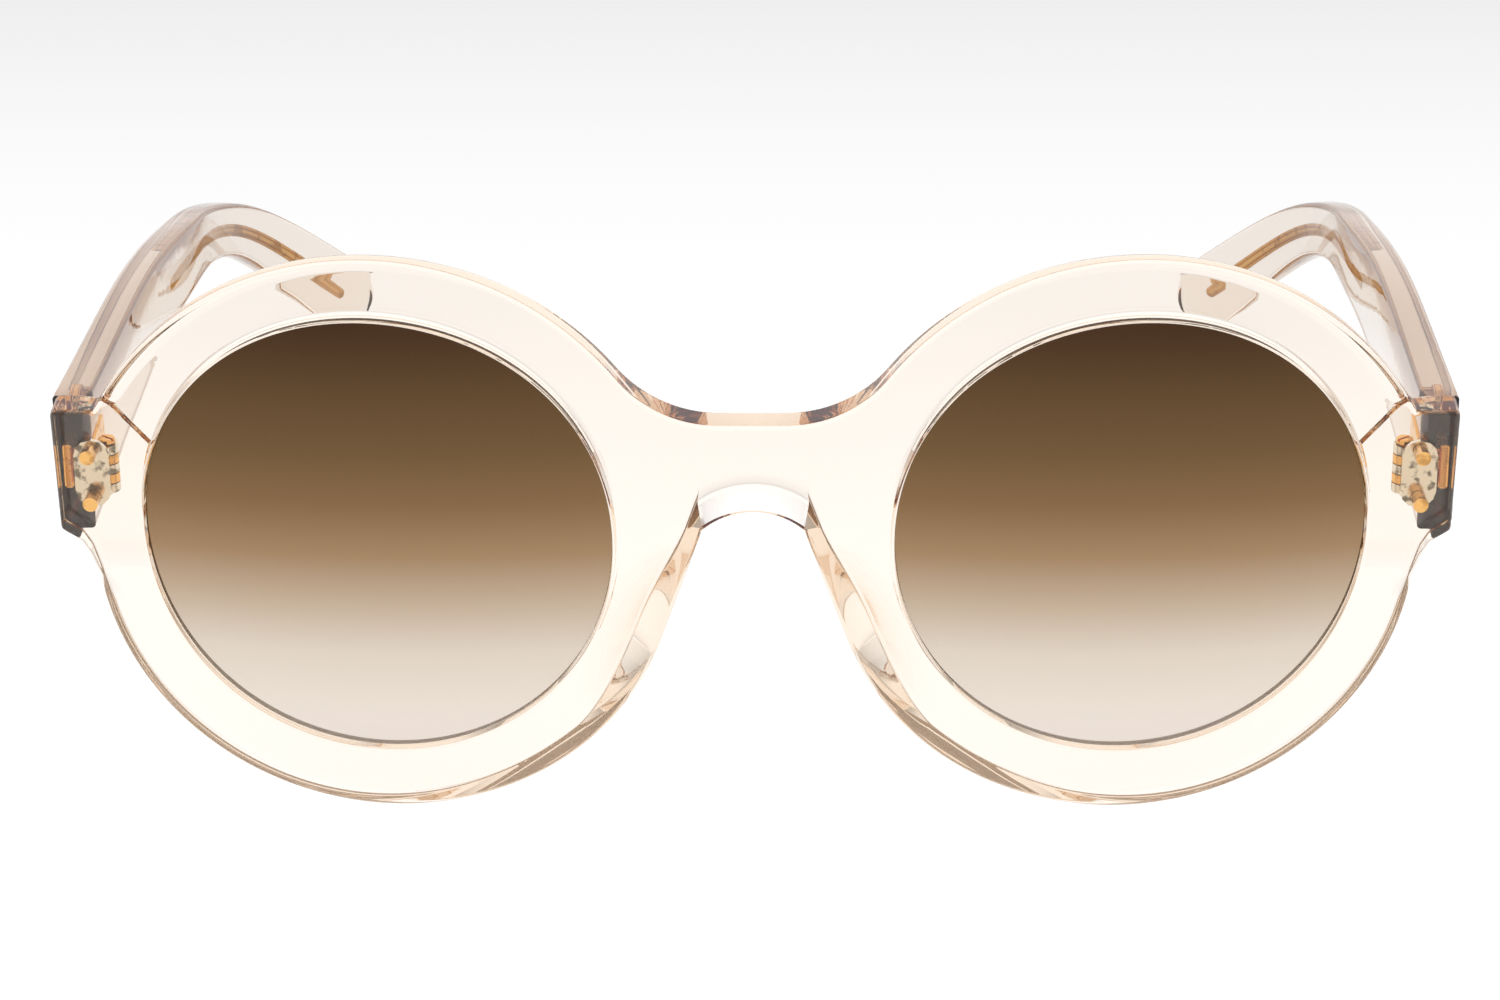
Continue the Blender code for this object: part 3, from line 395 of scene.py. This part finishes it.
def sheet_depth(points):
    """Depth of the acetate without its pads: the rims, a thicker bridge and the end blocks."""
    bridge = (1 - ease(np.abs(points[:, 0]), *BRIDGE_ACROSS)) * ease(points[:, 1], *BRIDGE_UP)
    return RIM + (BRIDGE - RIM) * bridge + BLOCK_EXTRA * end_block(points)


def pad_height(arch):
    """Height of a nose pad's crest at a distance from the arch's top: half a sine wave with pinched ends."""
    return PAD * np.sin(math.pi * np.clip((arch - PAD_FROM) / PAD_LENGTH, 0, 1)) ** PAD_PINCH


def edge_inset(depth, full, lean, back):
    """How far the edge has moved in at a depth: a quarter round, a straight lean, then the back round."""
    front = FRONT_ROUND
    front_round = front - np.sqrt(front**2 - (front - np.minimum(depth, front)) ** 2)
    start = full - back * (1 - np.sin(lean))
    wall = np.tan(lean) * np.maximum(np.minimum(depth, start) - front, 0)
    turn = np.arcsin(np.clip(1 - (full - depth) / back, np.sin(lean), 1))
    return front_round + wall + back * (np.cos(lean) - np.cos(turn))


def edge_form(points, along, arch, corner):
    """Back round and lean at each point of the edge, eased from one stretch to the next.

    The end block and bridge are nearly square behind, the rims round, and the nose's sides lean inward."""
    x, z = points.T
    at_end = (x > END_FLAT) | ((x > SCOOP_IN) & (abs(z - SCOOP_MIDDLE) < SCOOP_HALF))
    first, last = along[at_end][0], along[at_end][-1]
    square = 1 - ease(np.maximum(first - along, along - last), *END_FADE)
    back = RIM_BACK + (END_BACK - RIM_BACK) * square
    back = back + (BRIDGE_BACK - back) * (1 - ease(along, *BRIDGE_FADE))
    at_nose = arch <= arch[corner]
    flank = 1 - ease(arch, *FLANK_FADE)
    back = np.where(at_nose, ARCH_BACK, back + (FLANK_BACK - back) * flank)
    return back, np.where(at_nose, ARCH_LEAN, FLANK_LEAN * flank)


def inward(points):
    """Unit normals of an open outline, pointing into the acetate; its two ends lie on the mirror plane."""
    ends = points[[1, -2]] * (-1, 1)
    padded = np.concatenate([ends[:1], points, ends[1:]])
    ahead = padded[2:] - padded[:-2]
    normals = np.stack([ahead[:, 1], -ahead[:, 0]], 1)
    return normals / np.maximum(np.hypot(*normals.T), 1e-9)[:, None]


def wall_rings(points, along, arch, corner):
    """The edge's rings from front to back: the outline moved in along its normals by edge_inset at a depth.

    The nose corner goes where its two walls meet, and arch points that cross the flank's wall join it."""
    normals = inward(points)
    back, lean = edge_form(points, along, arch, corner)
    full = sheet_depth(points + BEYOND_ROUND * normals) + pad_height(arch)
    rounds = FRONT_ROUND * (1 - np.cos(np.linspace(0, math.pi / 2, ROUND_RINGS)))
    shares = 1 - (1 - np.linspace(0, 1, WALL_RINGS)[1:]) ** 2
    behind = FRONT_ROUND + shares[:, None] * (full - FRONT_ROUND)
    depths = np.concatenate([rounds[:, None] + 0 * full, behind])
    flat = points + normals * edge_inset(depths, full, lean, back)[:, :, None]

    runs = np.array([points[corner] - points[corner - 1], points[corner + 1] - points[corner]])
    sides = np.stack([runs[:, 1], -runs[:, 0]], 1) / np.hypot(*runs.T)[:, None]
    deep, whole = depths[:, corner], full[corner]
    on_flank = edge_inset(deep, whole, FLANK_LEAN, FLANK_BACK)
    on_arch = edge_inset(deep, whole, ARCH_LEAN, ARCH_BACK)
    flat[:, corner] = points[corner] + np.linalg.solve(sides, np.array([on_flank, on_arch])).T
    crossed = (flat - points[corner]) @ sides[0] > on_flank[:, None]
    past = crossed & (np.arange(len(points)) > corner)
    flat = np.where(past[:, :, None], flat[:, [corner]], flat)
    flat[:, [0, -1], 0] = 0
    return flat, depths


def nearest(places, edge, along):
    """Distance of each place from an open edge line, and the value of along at the line's nearest point."""
    gaps = np.hypot(*(places[:, None] - edge).transpose(2, 0, 1))
    at = gaps.argmin(1)
    best, where = gaps.min(1), along[at]
    for start in (at - 1, at):
        a = np.clip(start, 0, len(edge) - 2)
        run = edge[a + 1] - edge[a]
        share = np.clip(((places - edge[a]) * run).sum(1) / np.maximum((run * run).sum(1), 1e-12), 0, 1)
        gap = np.hypot(*(places - edge[a] - share[:, None] * run).T)
        where = np.where(gap < best, along[a] + share * (along[a + 1] - along[a]), where)
        best = np.minimum(gap, best)
    return best, where


def back_points(edge, arch):
    """Points inside the edge for the back's height: an even grid, and rows along the nose and the crease."""
    width, top = edge.max(0)
    grid = np.stack(np.meshgrid(np.arange(GRID, width, GRID), np.arange(GRID, top, GRID)), -1).reshape(-1, 2)
    flank = (arch > FLANK_START) & (arch < FLANK_END)
    rows = edge[flank] + inward(edge)[flank] * FLANK_ROWS[:, None, None]
    rows = rows.reshape(-1, 2)
    gaps, at = nearest(grid, edge, arch)
    open_grid = grid[(at > FLANK_END) | (gaps > FLANK_CLEAR)]
    grid = np.concatenate([open_grid, rows[rows[:, 0] > MIDDLE_CLEAR]])

    gaps = nearest(grid, edge, arch)[0]
    step = np.roll(edge, -1, 0) - edge
    above = (edge[:, 1] <= grid[:, 1:]) != (np.roll(edge, -1, 0)[:, 1] <= grid[:, 1:])
    cross = edge[:, 0] + (grid[:, 1:] - edge[:, 1]) * step[:, 0] / np.where(step[:, 1] == 0, 1, step[:, 1])
    inside = (above & (cross > grid[:, :1])).sum(1) % 2 == 1
    beyond = (grid - CREASE_TOP) @ CREASE_SIDE
    near_crease = (beyond > CREASE_FROM - CREASE_MARGIN) & (beyond < CREASE_TO + CREASE_MARGIN)
    near_crease &= grid[:, 1] > BLOCK_FADE[1]
    rows = np.stack(np.meshgrid(CREASE_STEPS, CREASE_ROWS), -1).reshape(-1, 2)
    crease = CREASE_TOP + rows @ np.array([(CREASE_SIDE[1], -CREASE_SIDE[0]), CREASE_SIDE])
    crease = crease[nearest(crease, edge, arch)[0] > CREASE_CLEAR]
    return np.concatenate([grid[inside & (gaps > EDGE_CLEAR) & ~near_crease], crease])


def front_half():
    """The left half before it is bent: its edge's rings, its face, and its back as a height over the plane.

    That height is sheet_depth plus the pad, which falls off as (1 - u / spread)^2 at u from its crest."""
    points, corner = front_outline()
    along = lengths_along(points)
    arch = along[-1] - along
    flat, depths = wall_rings(points, along, arch, corner)
    cloud = np.stack([flat[:, :, 0], depths, flat[:, :, 1]], 2)
    rings, count = depths.shape
    cells = np.arange((rings - 1) * count).reshape(rings - 1, count)[:, :-1].reshape(-1, 1)
    faces = (cells + (0, 1, count + 1, count)).tolist() + [list(range(count))[::-1]]

    edge = flat[-1]
    plane = np.concatenate([edge, back_points(edge, arch)])
    loop = np.stack([np.arange(count), np.roll(np.arange(count), -1)], 1)
    made, _, triangles, _, _, _ = delaunay_2d_cdt(plane.tolist(), loop.tolist(), [], 1, 1e-5)
    made = np.array(made, float)
    apart = np.hypot(*(made[:, None] - edge).transpose(2, 0, 1))
    on_edge = apart.min(1) < SAME_PLACE
    gaps, at = nearest(made, edge, arch)
    fall = (1 - np.clip(gaps / PAD_SPREAD, 0, 1)) ** 2
    height = sheet_depth(made) + pad_height(at) * fall
    inner = (rings - 1) * count + np.where(on_edge, apart.argmin(1), count + np.arange(len(made)))
    surface = np.stack([made[:, 0], height, made[:, 1]], 1)
    faces += inner[np.array(triangles)][:, ::-1].tolist()
    cloud = np.concatenate([cloud.reshape(-1, 3), surface])
    cloud[:, 1] /= math.cos(WRAP)
    mesh = mesh_from("front", cloud, faces)
    work = bmesh.new()
    work.from_mesh(mesh)
    bmesh.ops.delete(work, geom=[v for v in work.verts if not v.link_faces], context="VERTS")
    bmesh.ops.remove_doubles(work, verts=work.verts, dist=SAME_PLACE)
    rims = [e for e in work.edges if e.is_boundary and max(v.co.x for v in e.verts) > SAME_PLACE]
    bmesh.ops.holes_fill(work, edges=rims, sides=0)
    bmesh.ops.recalc_face_normals(work, faces=work.faces)
    work.to_mesh(mesh)
    work.free()
    return mesh


def wrap(mesh):
    """Bends the flat half: edges are cut across the bend, then each point moves back by wrap_depth."""
    work = bmesh.new()
    work.from_mesh(mesh)
    for x in np.linspace(1, WRAP_BEND, WRAP_BEND):
        everything = work.verts[:] + work.edges[:] + work.faces[:]
        bmesh.ops.bisect_plane(work, geom=everything, plane_co=(x, 0, 0), plane_no=(1, 0, 0))
    work.to_mesh(mesh)
    work.free()
    points = np.empty(3 * len(mesh.vertices))
    mesh.vertices.foreach_get("co", points)
    points[1::3] += wrap_depth(points[0::3])
    mesh.vertices.foreach_set("co", points)
    mesh.update()


def complete(thing, bisect):
    """Makes the right half the mirror image of the left one, cutting an old right half off first if asked."""
    both = thing.modifiers.new("mirror", "MIRROR")
    both.use_bisect_axis[0] = bisect
    both.merge_threshold = 0.01
    settle(thing)


def wing(x, z):
    """A frame on the left wing, local Z pointing back through the sheet."""
    turn = Matrix.Rotation(WRAP, 4, "Z") @ Matrix.Rotation(-math.pi / 2, 4, "X")
    return Matrix.Translation((x, float(wrap_depth(x)), z)) @ turn


def lens_shape(angles):
    """Share of the radius at angles from the temple side round by the top: fuller above, flatter below.

    It sums waves of one to four swells round the lens, each with a height in mm and a turn in degrees."""
    swell = sum(high * np.cos(-(k + 1) * angles - turn * DEG) for k, (high, turn) in enumerate(LENS_WAVES))
    return 1 + swell / OPEN_R


def opening_profile():
    """A lens opening's cutter from back to front: flare, round edge, V groove, round edge and flare."""
    quarter = np.linspace(0, math.pi / 2, ROUND_RINGS)
    rear = quarter[::-1] * BACK_TURN
    rear = np.stack([OPEN_BACK * (1 - np.cos(rear)), RIM - OPEN_BACK * (1 - np.sin(rear))], 1)
    fore = np.stack([OPEN_FRONT * (1 - np.cos(quarter)), OPEN_FRONT * (1 - np.sin(quarter))], 1)
    groove = [(0, GROOVE_Y + GROOVE), (GROOVE, GROOVE_Y), (0, GROOVE_Y - GROOVE)]
    walls = np.concatenate([BACK_FLARE, rear, groove, fore, FRONT_FLARE]) + (OPEN_R, 0)
    return np.concatenate([[(0, walls[0, 1])], walls, [(0, walls[-1, 1])]])


ROW = Matrix.Translation((0, FRONT_Y, 0)) @ Matrix.Scale(MM, 4)

mesh = front_half()
wrap(mesh)
front = bpy.data.objects.new("acetate_front", mesh)
scene.collection.objects.link(front)
complete(front, False)
cutter = lathe("opening", opening_profile()[::-1], OPEN_STEPS, wing(LENS_X, LENS_Z), lens_shape)
opening = bpy.data.objects.new("opening", cutter)
scene.collection.objects.link(opening)
cut = front.modifiers.new("opening", "BOOLEAN")
cut.object = opening
cut.solver = "EXACT"
settle(front)
bpy.data.objects.remove(opening)
complete(front, True)
front.data.transform(ROW)
front.data.materials.clear()
front.data.materials.append(acetate)
front.data.shade_smooth()
front.data.set_sharp_from_angle(angle=20 * DEG)
even = front.modifiers.new("normals", "WEIGHTED_NORMAL")
even.keep_sharp = True
even.weight = 100
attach(front, "front")
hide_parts("front")


# Lenses: 2 mm meniscus lenses of nylon, dip-dyed from dark brown above to almost clear below.
# Each is ground to its rim's outline and held by a V bevel in the rim's groove.
LENS_FOOT, LENS_HEAD = 6.6, 55.2
TINT = [(0.06, "#DFD4CB"), (0.119, "#DCD1C5"), (0.237, "#D2C6B8"), (0.355, "#B9A58F"), (0.473, "#9B7E5E")]
TINT += [(0.592, "#806242"), (0.71, "#6C5233"), (0.829, "#5E4529"), (0.971, "#452C16")]
LENS_PLAY = 0.1
LENS_FRONT_R, LENS_BACK_R = 125, 123
LENS_FRONT_Y, LENS_BACK_Y = 1.1, 3.1
BEVEL = 0.3
GROUND_WIDTH = 1.5
GROUND_STEEP = 0.93
LENS_RINGS, LENS_STEPS = 20, 192


def dye(tree):
    """The dye's colour at each height, from the lowest point of the lens to its highest."""
    place = node(tree, "ShaderNodeTexCoord").outputs["Object"]
    height = node(tree, "ShaderNodeSeparateXYZ", {0: place}).outputs["Z"]
    height = {"Value": height, "From Min": LENS_FOOT * MM, "From Max": LENS_HEAD * MM}
    height = node(tree, "ShaderNodeMapRange", height).outputs[0]
    return node(tree, "ShaderNodeValToRGB", {"Fac": height}, stops=TINT).outputs["Color"]


# Polished nylon: what shows through it takes the dye's colour, and its coating keeps reflections faint.
tint, tree = material("brown_gradient_lens")
glass = {"Base Color": dye(tree), "Roughness": 0.0, "IOR": 1.5, "Transmission Weight": 1.0}
body = node(tree, "ShaderNodeBsdfPrincipled", glass | {"Specular Tint": (0.2, 0.2, 0.2, 1)}).outputs[0]
node(tree, "ShaderNodeOutputMaterial", {"Surface": body})

# Ground nylon: a matt edge that looks paler than the dyed lens, since the light doesn't pass through it.
ground, tree = material("ground_lens_edge")
pale = node(tree, "ShaderNodeGamma", {"Color": dye(tree), "Gamma": 0.6}).outputs[0]
body = node(tree, "ShaderNodeBsdfDiffuse", {"Color": pale, "Roughness": 1.0}).outputs[0]
node(tree, "ShaderNodeOutputMaterial", {"Surface": body})


def lens_profile():
    """Two spheres about the same centre, each bulging by sqrt(R^2 - r^2), and a V bevel round the edge."""
    shoulder = OPEN_R - LENS_PLAY
    radii = shoulder * np.linspace(0, 1, LENS_RINGS)

    def side(sphere, depth):
        bulge = np.sqrt(sphere**2 - radii**2) - math.sqrt(sphere**2 - shoulder**2)
        return np.stack([radii, depth - bulge], 1)

    bevel = [(shoulder, GROOVE_Y - BEVEL), (shoulder + BEVEL, GROOVE_Y), (shoulder, GROOVE_Y + BEVEL)]
    return np.concatenate([side(LENS_FRONT_R, LENS_FRONT_Y), bevel, side(LENS_BACK_R, LENS_BACK_Y)[::-1]])


def mark_ground(mesh, finish):
    """Gives the bevel's faces a finish: those near the edge that don't face along the lens's axis."""
    normals, centres = np.empty(3 * len(mesh.polygons)), np.empty(3 * len(mesh.polygons))
    mesh.polygons.foreach_get("normal", normals)
    mesh.polygons.foreach_get("center", centres)
    steep = abs(normals[2::3]) < GROUND_STEEP
    outer = np.hypot(centres[0::3], centres[1::3]) > OPEN_R - GROUND_WIDTH
    mesh.polygons.foreach_set("material_index", (steep & outer).astype(np.int32) * finish)


def pair(label, left, finishes, sharp, replaced, body=None):
    """Places a left piece and its mirror image on the right, smooth but for edges sharper than an angle.

    Both ride on the body that is named, or else each on its own temple."""
    right = left.copy()
    right.transform(Matrix.Scale(-1, 4, (1, 0, 0)))
    right.flip_normals()
    for side, mesh in (("left", left), ("right", right)):
        for finish in finishes:
            mesh.materials.append(finish)
        mesh.transform(ROW)
        mesh.shade_smooth()
        mesh.set_sharp_from_angle(angle=sharp)
        piece = bpy.data.objects.new(side + label, mesh)
        scene.collection.objects.link(piece)
        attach(piece, body or side + "_temple")
        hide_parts(*(side + name for name in replaced))


lens = lathe("lens", lens_profile()[::-1], LENS_STEPS, Matrix(), lens_shape)
mark_ground(lens, 1)
lens.transform(wing(LENS_X, LENS_Z))
pair("_tinted_lens", lens, (tint, ground), 25 * DEG, ["_lens"], "front")


# Temples: arms of the same tumbled acetate, cut, heated and bent over the ear. They narrow from the hinge to
# the bend, then turn down and in to a broad round tip. Each butts against its end block, on its hinge.
TEMPLE = 142.8
TEMPLE_TIP = 4.4
BUTT_X, BUTT_Y, BUTT_Z = 70.85, 4.5, 38.4
BUTT_EXTRA = 1.1
BUTT_FADE = (0, 30)
BUTT_BEVEL = 0.6
DOWN = ([0, 0.45, 0.6, 0.75, 0.88, 1], [6.5, 7.9, 12.6, 20.2, 38, 43.3])
INWARD = ([0, 0.3, 0.5, 0.65, 0.78, 0.9, 1], [-1.1, -0.6, 1.7, 0.8, 14.3, 40, 64])
TALL = ([0, 0.3, 0.6, 0.75, 0.9, 1], [13.3, 11.9, 8.2, 6.8, 8.0, 8.8])
THICK = (3.9, 3.4)
TIP_THIN = 0.35
CORNER, CORNER_GROWTH, CORNER_SHARE = 0.45, 0.5, 0.3
CORNER_POINTS = 7
ARM_SECTIONS, TIP_SECTIONS = 150, 16


def spline(value, at, heights):
    """Cubic Hermite curve through given heights with averaged slopes."""
    at, heights = np.asarray(at, float), np.asarray(heights, float)
    slopes = np.gradient(heights, at)
    slopes[0] = (heights[1] - heights[0]) / (at[1] - at[0])
    slopes[-1] = (heights[-1] - heights[-2]) / (at[-1] - at[-2])
    k = np.clip(np.searchsorted(at, value, side="right") - 1, 0, len(at) - 2)
    width = at[k + 1] - at[k]
    t = (value - at[k]) / width
    rise = heights[k + 1] - heights[k]
    a, b = slopes[k] * width, slopes[k + 1] * width
    return heights[k] + t * (a + t * (3 * rise - 2 * a - b + t * (a + b - 2 * rise)))


def by_length(lengths, table):
    """A table's values, given at shares of the temple's length, at lengths in mm."""
    return spline(lengths, TEMPLE * np.array(table[0]), table[1])


def temple_line(lengths):
    """Centre, outward and upward directions of the left temple at lengths from the butt.

    The heading turns down and inward by its two tables, and the centre is its sum along the temple."""
    fine = np.linspace(0, TEMPLE, 800)
    down, inner = by_length(fine, DOWN) * DEG, by_length(fine, INWARD) * DEG
    heading = np.stack([-np.sin(inner) * np.cos(down), np.cos(inner) * np.cos(down), -np.sin(down)], 1)
    steps = (heading[1:] + heading[:-1]) / 2 * (fine[1] - fine[0])
    start = np.array([BUTT_X, float(wrap_depth(BUTT_X)) + BUTT_Y / math.cos(WRAP), BUTT_Z])
    centres = start + np.concatenate([[np.zeros(3)], np.cumsum(steps, 0)])
    out = np.stack([np.cos(inner), np.sin(inner), 0 * inner], 1)

    def at(table):
        return np.stack([np.interp(lengths, fine, table[:, k]) for k in range(3)], 1)

    centre, heading, out = at(centres), at(heading), at(out)
    return centre, out, np.cross(out, heading)


def plates(width, height, corner, steps):
    """Centred rectangles with round corners, one for each entry of the arrays, as (out, up) points."""
    signs = np.array([(1, 1), (-1, 1), (-1, -1), (1, -1)])
    angles = (np.arange(4)[:, None] + np.linspace(0, 1, steps)) * math.pi / 2
    turned = np.stack([np.cos(angles), np.sin(angles)], -1)
    half = np.stack([width, height], 1) / 2 - corner[:, None]
    points = half[:, None, None] * signs[:, None] + corner[:, None, None, None] * turned
    return points.reshape(len(half), -1, 2)


def swept(name, sections, centre, out, up, butt=None):
    """Sections of (out, up) points set along a line and joined, with both ends closed.

    Where a butt is given, it is a function that gives the first section's depth at x."""
    rings = centre[:, None] + sections[..., :1] * out[:, None] + sections[..., 1:] * up[:, None]
    if butt is not None:
        rings[0][:, 1] = butt(rings[0][:, 0])
    count = rings.shape[1]
    here, beside = np.arange(count), np.roll(np.arange(count), -1)
    level = count * np.arange(len(rings) - 1)[:, None]
    walls = np.stack([level + here, level + count + here, level + count + beside, level + beside], -1)
    ends = [here.tolist(), (here[::-1] + count * (len(rings) - 1)).tolist()]
    return mesh_from(name, rings.reshape(-1, 3), walls.reshape(-1, 4).tolist() + ends)


def end_back(x):
    """Depth of the end block's back at x, where the temple's butt rests."""
    return wrap_depth(x) + BUTT_Y / math.cos(WRAP)


def temple_mesh():
    """Rounded rectangles along the temple line, closing at the tip by a half circle seen from the side.

    The butt reaches further down than the arm behind it, and its inner edge is bevelled for the hinge."""
    straight = np.linspace(0, TEMPLE - TEMPLE_TIP, ARM_SECTIONS)
    turn = np.linspace(0, 1, TIP_SECTIONS)[1:-1] * math.pi / 2
    lengths = np.concatenate([straight, TEMPLE - TEMPLE_TIP + TEMPLE_TIP * np.sin(turn)])
    fade = np.concatenate([np.ones(len(straight)), np.cos(turn)])
    heights = by_length(lengths, TALL) * fade
    thick = np.interp(lengths, [0, TEMPLE], THICK) * (1 - (1 - fade) * TIP_THIN)
    corner = CORNER + CORNER_GROWTH * lengths / TEMPLE
    corner = np.minimum(corner, CORNER_SHARE * np.minimum(heights, thick))
    extra = BUTT_EXTRA * (1 - ease(lengths, *BUTT_FADE))
    sections = plates(thick, heights + extra, corner, CORNER_POINTS)
    sections[:, :, 1] -= extra[:, None] / 2
    sections[0, :, 0] = np.maximum(sections[0, :, 0], BUTT_BEVEL - thick[0] / 2)
    return swept("temple", sections, *temple_line(lengths), end_back)


temple_acetate = clear_acetate("champagne_temple_acetate", "#D1AD79", density=102.0)
pair("_temple_arm", temple_mesh(), (temple_acetate,), 30 * DEG, ["_temple"])


# Hinges: five-barrel riveted hinges, their leaves and barrels pressed and tumbled, with a screw and rivets.
# The frame's own parts are kept. The front leaf is nickel silver and the rest is plated in a gold tone.
PATCH_EDGE = (0.36, 0.47)
DULLER = 0.15


def metal(name, light, reflected_dark, roughness, size):
    """A polished metal with patches about a size across, in mm, that look darker and duller than the rest.

    Their darker colour is a painted reflection of what the small bright forms mirror; their dullness and
    faint relief are what tumbling leaves."""
    made, tree = material(name)
    place = node(tree, "ShaderNodeTexCoord").outputs["Object"]
    reflection_and_relief_patches = {"Vector": place, "Scale": 1 / (size * MM), "Detail": 3.0}
    reflection_and_relief_patches = node(tree, "ShaderNodeTexNoise", reflection_and_relief_patches).outputs["Fac"]
    low, high = PATCH_EDGE
    # The dark stop is a painted reflection, mixed into the base colour by the patches.
    stops = [(low, reflected_dark), (high, light)]
    colour_with_painted_reflection = node(tree, "ShaderNodeValToRGB", {"Fac": reflection_and_relief_patches}, stops=stops).outputs["Color"]
    dull = {"Value": reflection_and_relief_patches, "From Min": low, "From Max": high}
    dull |= {"To Min": roughness + DULLER, "To Max": roughness}
    dull = node(tree, "ShaderNodeMapRange", dull).outputs[0]
    relief = {"Height": reflection_and_relief_patches, "Strength": 0.2, "Distance": SWELL_HEIGHT * MM}
    relief = node(tree, "ShaderNodeBump", relief).outputs[0]
    body = {"Base Color": colour_with_painted_reflection, "Metallic": 1.0, "Roughness": dull, "Normal": relief}
    body = node(tree, "ShaderNodeBsdfPrincipled", body).outputs[0]
    node(tree, "ShaderNodeOutputMaterial", {"Surface": body})
    return made


# Nickel silver is pale, warm and nearly mirror-bright; the gold tone is softer and deeper. The dark colour of
# each is painted reflection.
nickel = metal("nickel_silver", "#DDD3BF", "#7D7462", roughness=0.12, size=1.2)
gold = metal("gold_tone", "#E8B264", "#C9924A", roughness=0.2, size=1.5)
for name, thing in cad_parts.items():
    if any(word in name for word in ("hinge", "rivet", "screw")):
        thing.data.materials.clear()
        thing.data.materials.append(nickel if "front_hinge" in name else gold)


# Core wires: round brass wire, drawn and slightly tarnished, shot into the middle of each temple.
# It runs from ahead of the ear bend to near the tip and shows through the acetate, rounded at both ends.
CORE_R = 0.75
CORE_START, CORE_END = 64, 138.25
CORE_STRAIGHT = (65.5, 137)
CORE_SECTIONS, NOSE_SECTIONS, WIRE_STEPS = 90, 7, 20

turn = np.linspace(0, 1, NOSE_SECTIONS)[1:] * math.pi / 2
nose, back = CORE_R * np.sin(turn), CORE_R * np.cos(turn)
straight = np.linspace(*CORE_STRAIGHT, CORE_SECTIONS)
lengths = np.concatenate([CORE_START + CORE_R - back, straight, CORE_END - CORE_R + nose[:-1]])
radii = np.concatenate([nose, np.full(len(straight), CORE_R), back[:-1]])
angles = np.linspace(0, 2 * math.pi, WIRE_STEPS, endpoint=False)
circles = radii[:, None, None] * np.stack([np.cos(angles), np.sin(angles)], 1)
core = swept("core", circles, *temple_line(lengths))
# The brass's darker patches are painted reflections, as on the hinges.
brass = metal("brass_wire", "#DDAE6C", "#C08F50", roughness=0.3, size=2.0)
pair("_core", core, (brass,), 30 * DEG, ["_core_wire"])


# Hinge shields: an upright gold-toned bar with bevelled ends, set in each temple's acetate near the butt.
# Two pins run from it through the acetate to the hinge leaf and hold the leaf on, in place of plain rivets.
SHIELD_X, SHIELD_Z = 71.45, 37.3
SHIELD_DEPTHS = np.array([8.8, 9.0, 14.6, 14.8])
SHIELD_END, SHIELD_BODY = (0.6, 4.5, 0.15), (0.95, 4.9, 0.3)
SHIELD_CORNER_POINTS = 5
PIN_X, PIN_R, PIN_LENGTH, PIN_STEPS = 68.9, 0.5, 2.2, 24

width, height, corner = np.array([SHIELD_END, SHIELD_BODY, SHIELD_BODY, SHIELD_END]).T
places = np.stack([SHIELD_X + 0 * SHIELD_DEPTHS, SHIELD_DEPTHS, SHIELD_Z + 0 * SHIELD_DEPTHS], 1)
outward, upward = np.array([[1.0, 0, 0]] * 4), np.array([[0, 0, 1.0]] * 4)
sections = plates(width, height, corner, SHIELD_CORNER_POINTS)
shield = swept("shield", sections, places, outward, upward)
pin_profile = [(0, 0), (PIN_R, 0), (PIN_R, PIN_LENGTH), (0, PIN_LENGTH)]
joined = bmesh.new()
joined.from_mesh(shield)
for rivet in ("left_temple_rivet_front", "left_temple_rivet_rear"):
    low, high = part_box(rivet)
    at = Vector((PIN_X, ((low[1] + high[1]) / 2 - FRONT_Y) / MM, SHIELD_Z))
    place = Matrix.Translation(at) @ Matrix.Rotation(math.pi / 2, 4, "Y")
    joined.from_mesh(lathe("pin", pin_profile, PIN_STEPS, place))
joined.to_mesh(shield)
joined.free()
pair("_hinge_shield", shield, (gold,), 30 * DEG, ["_temple_rivet_front", "_temple_rivet_rear"])
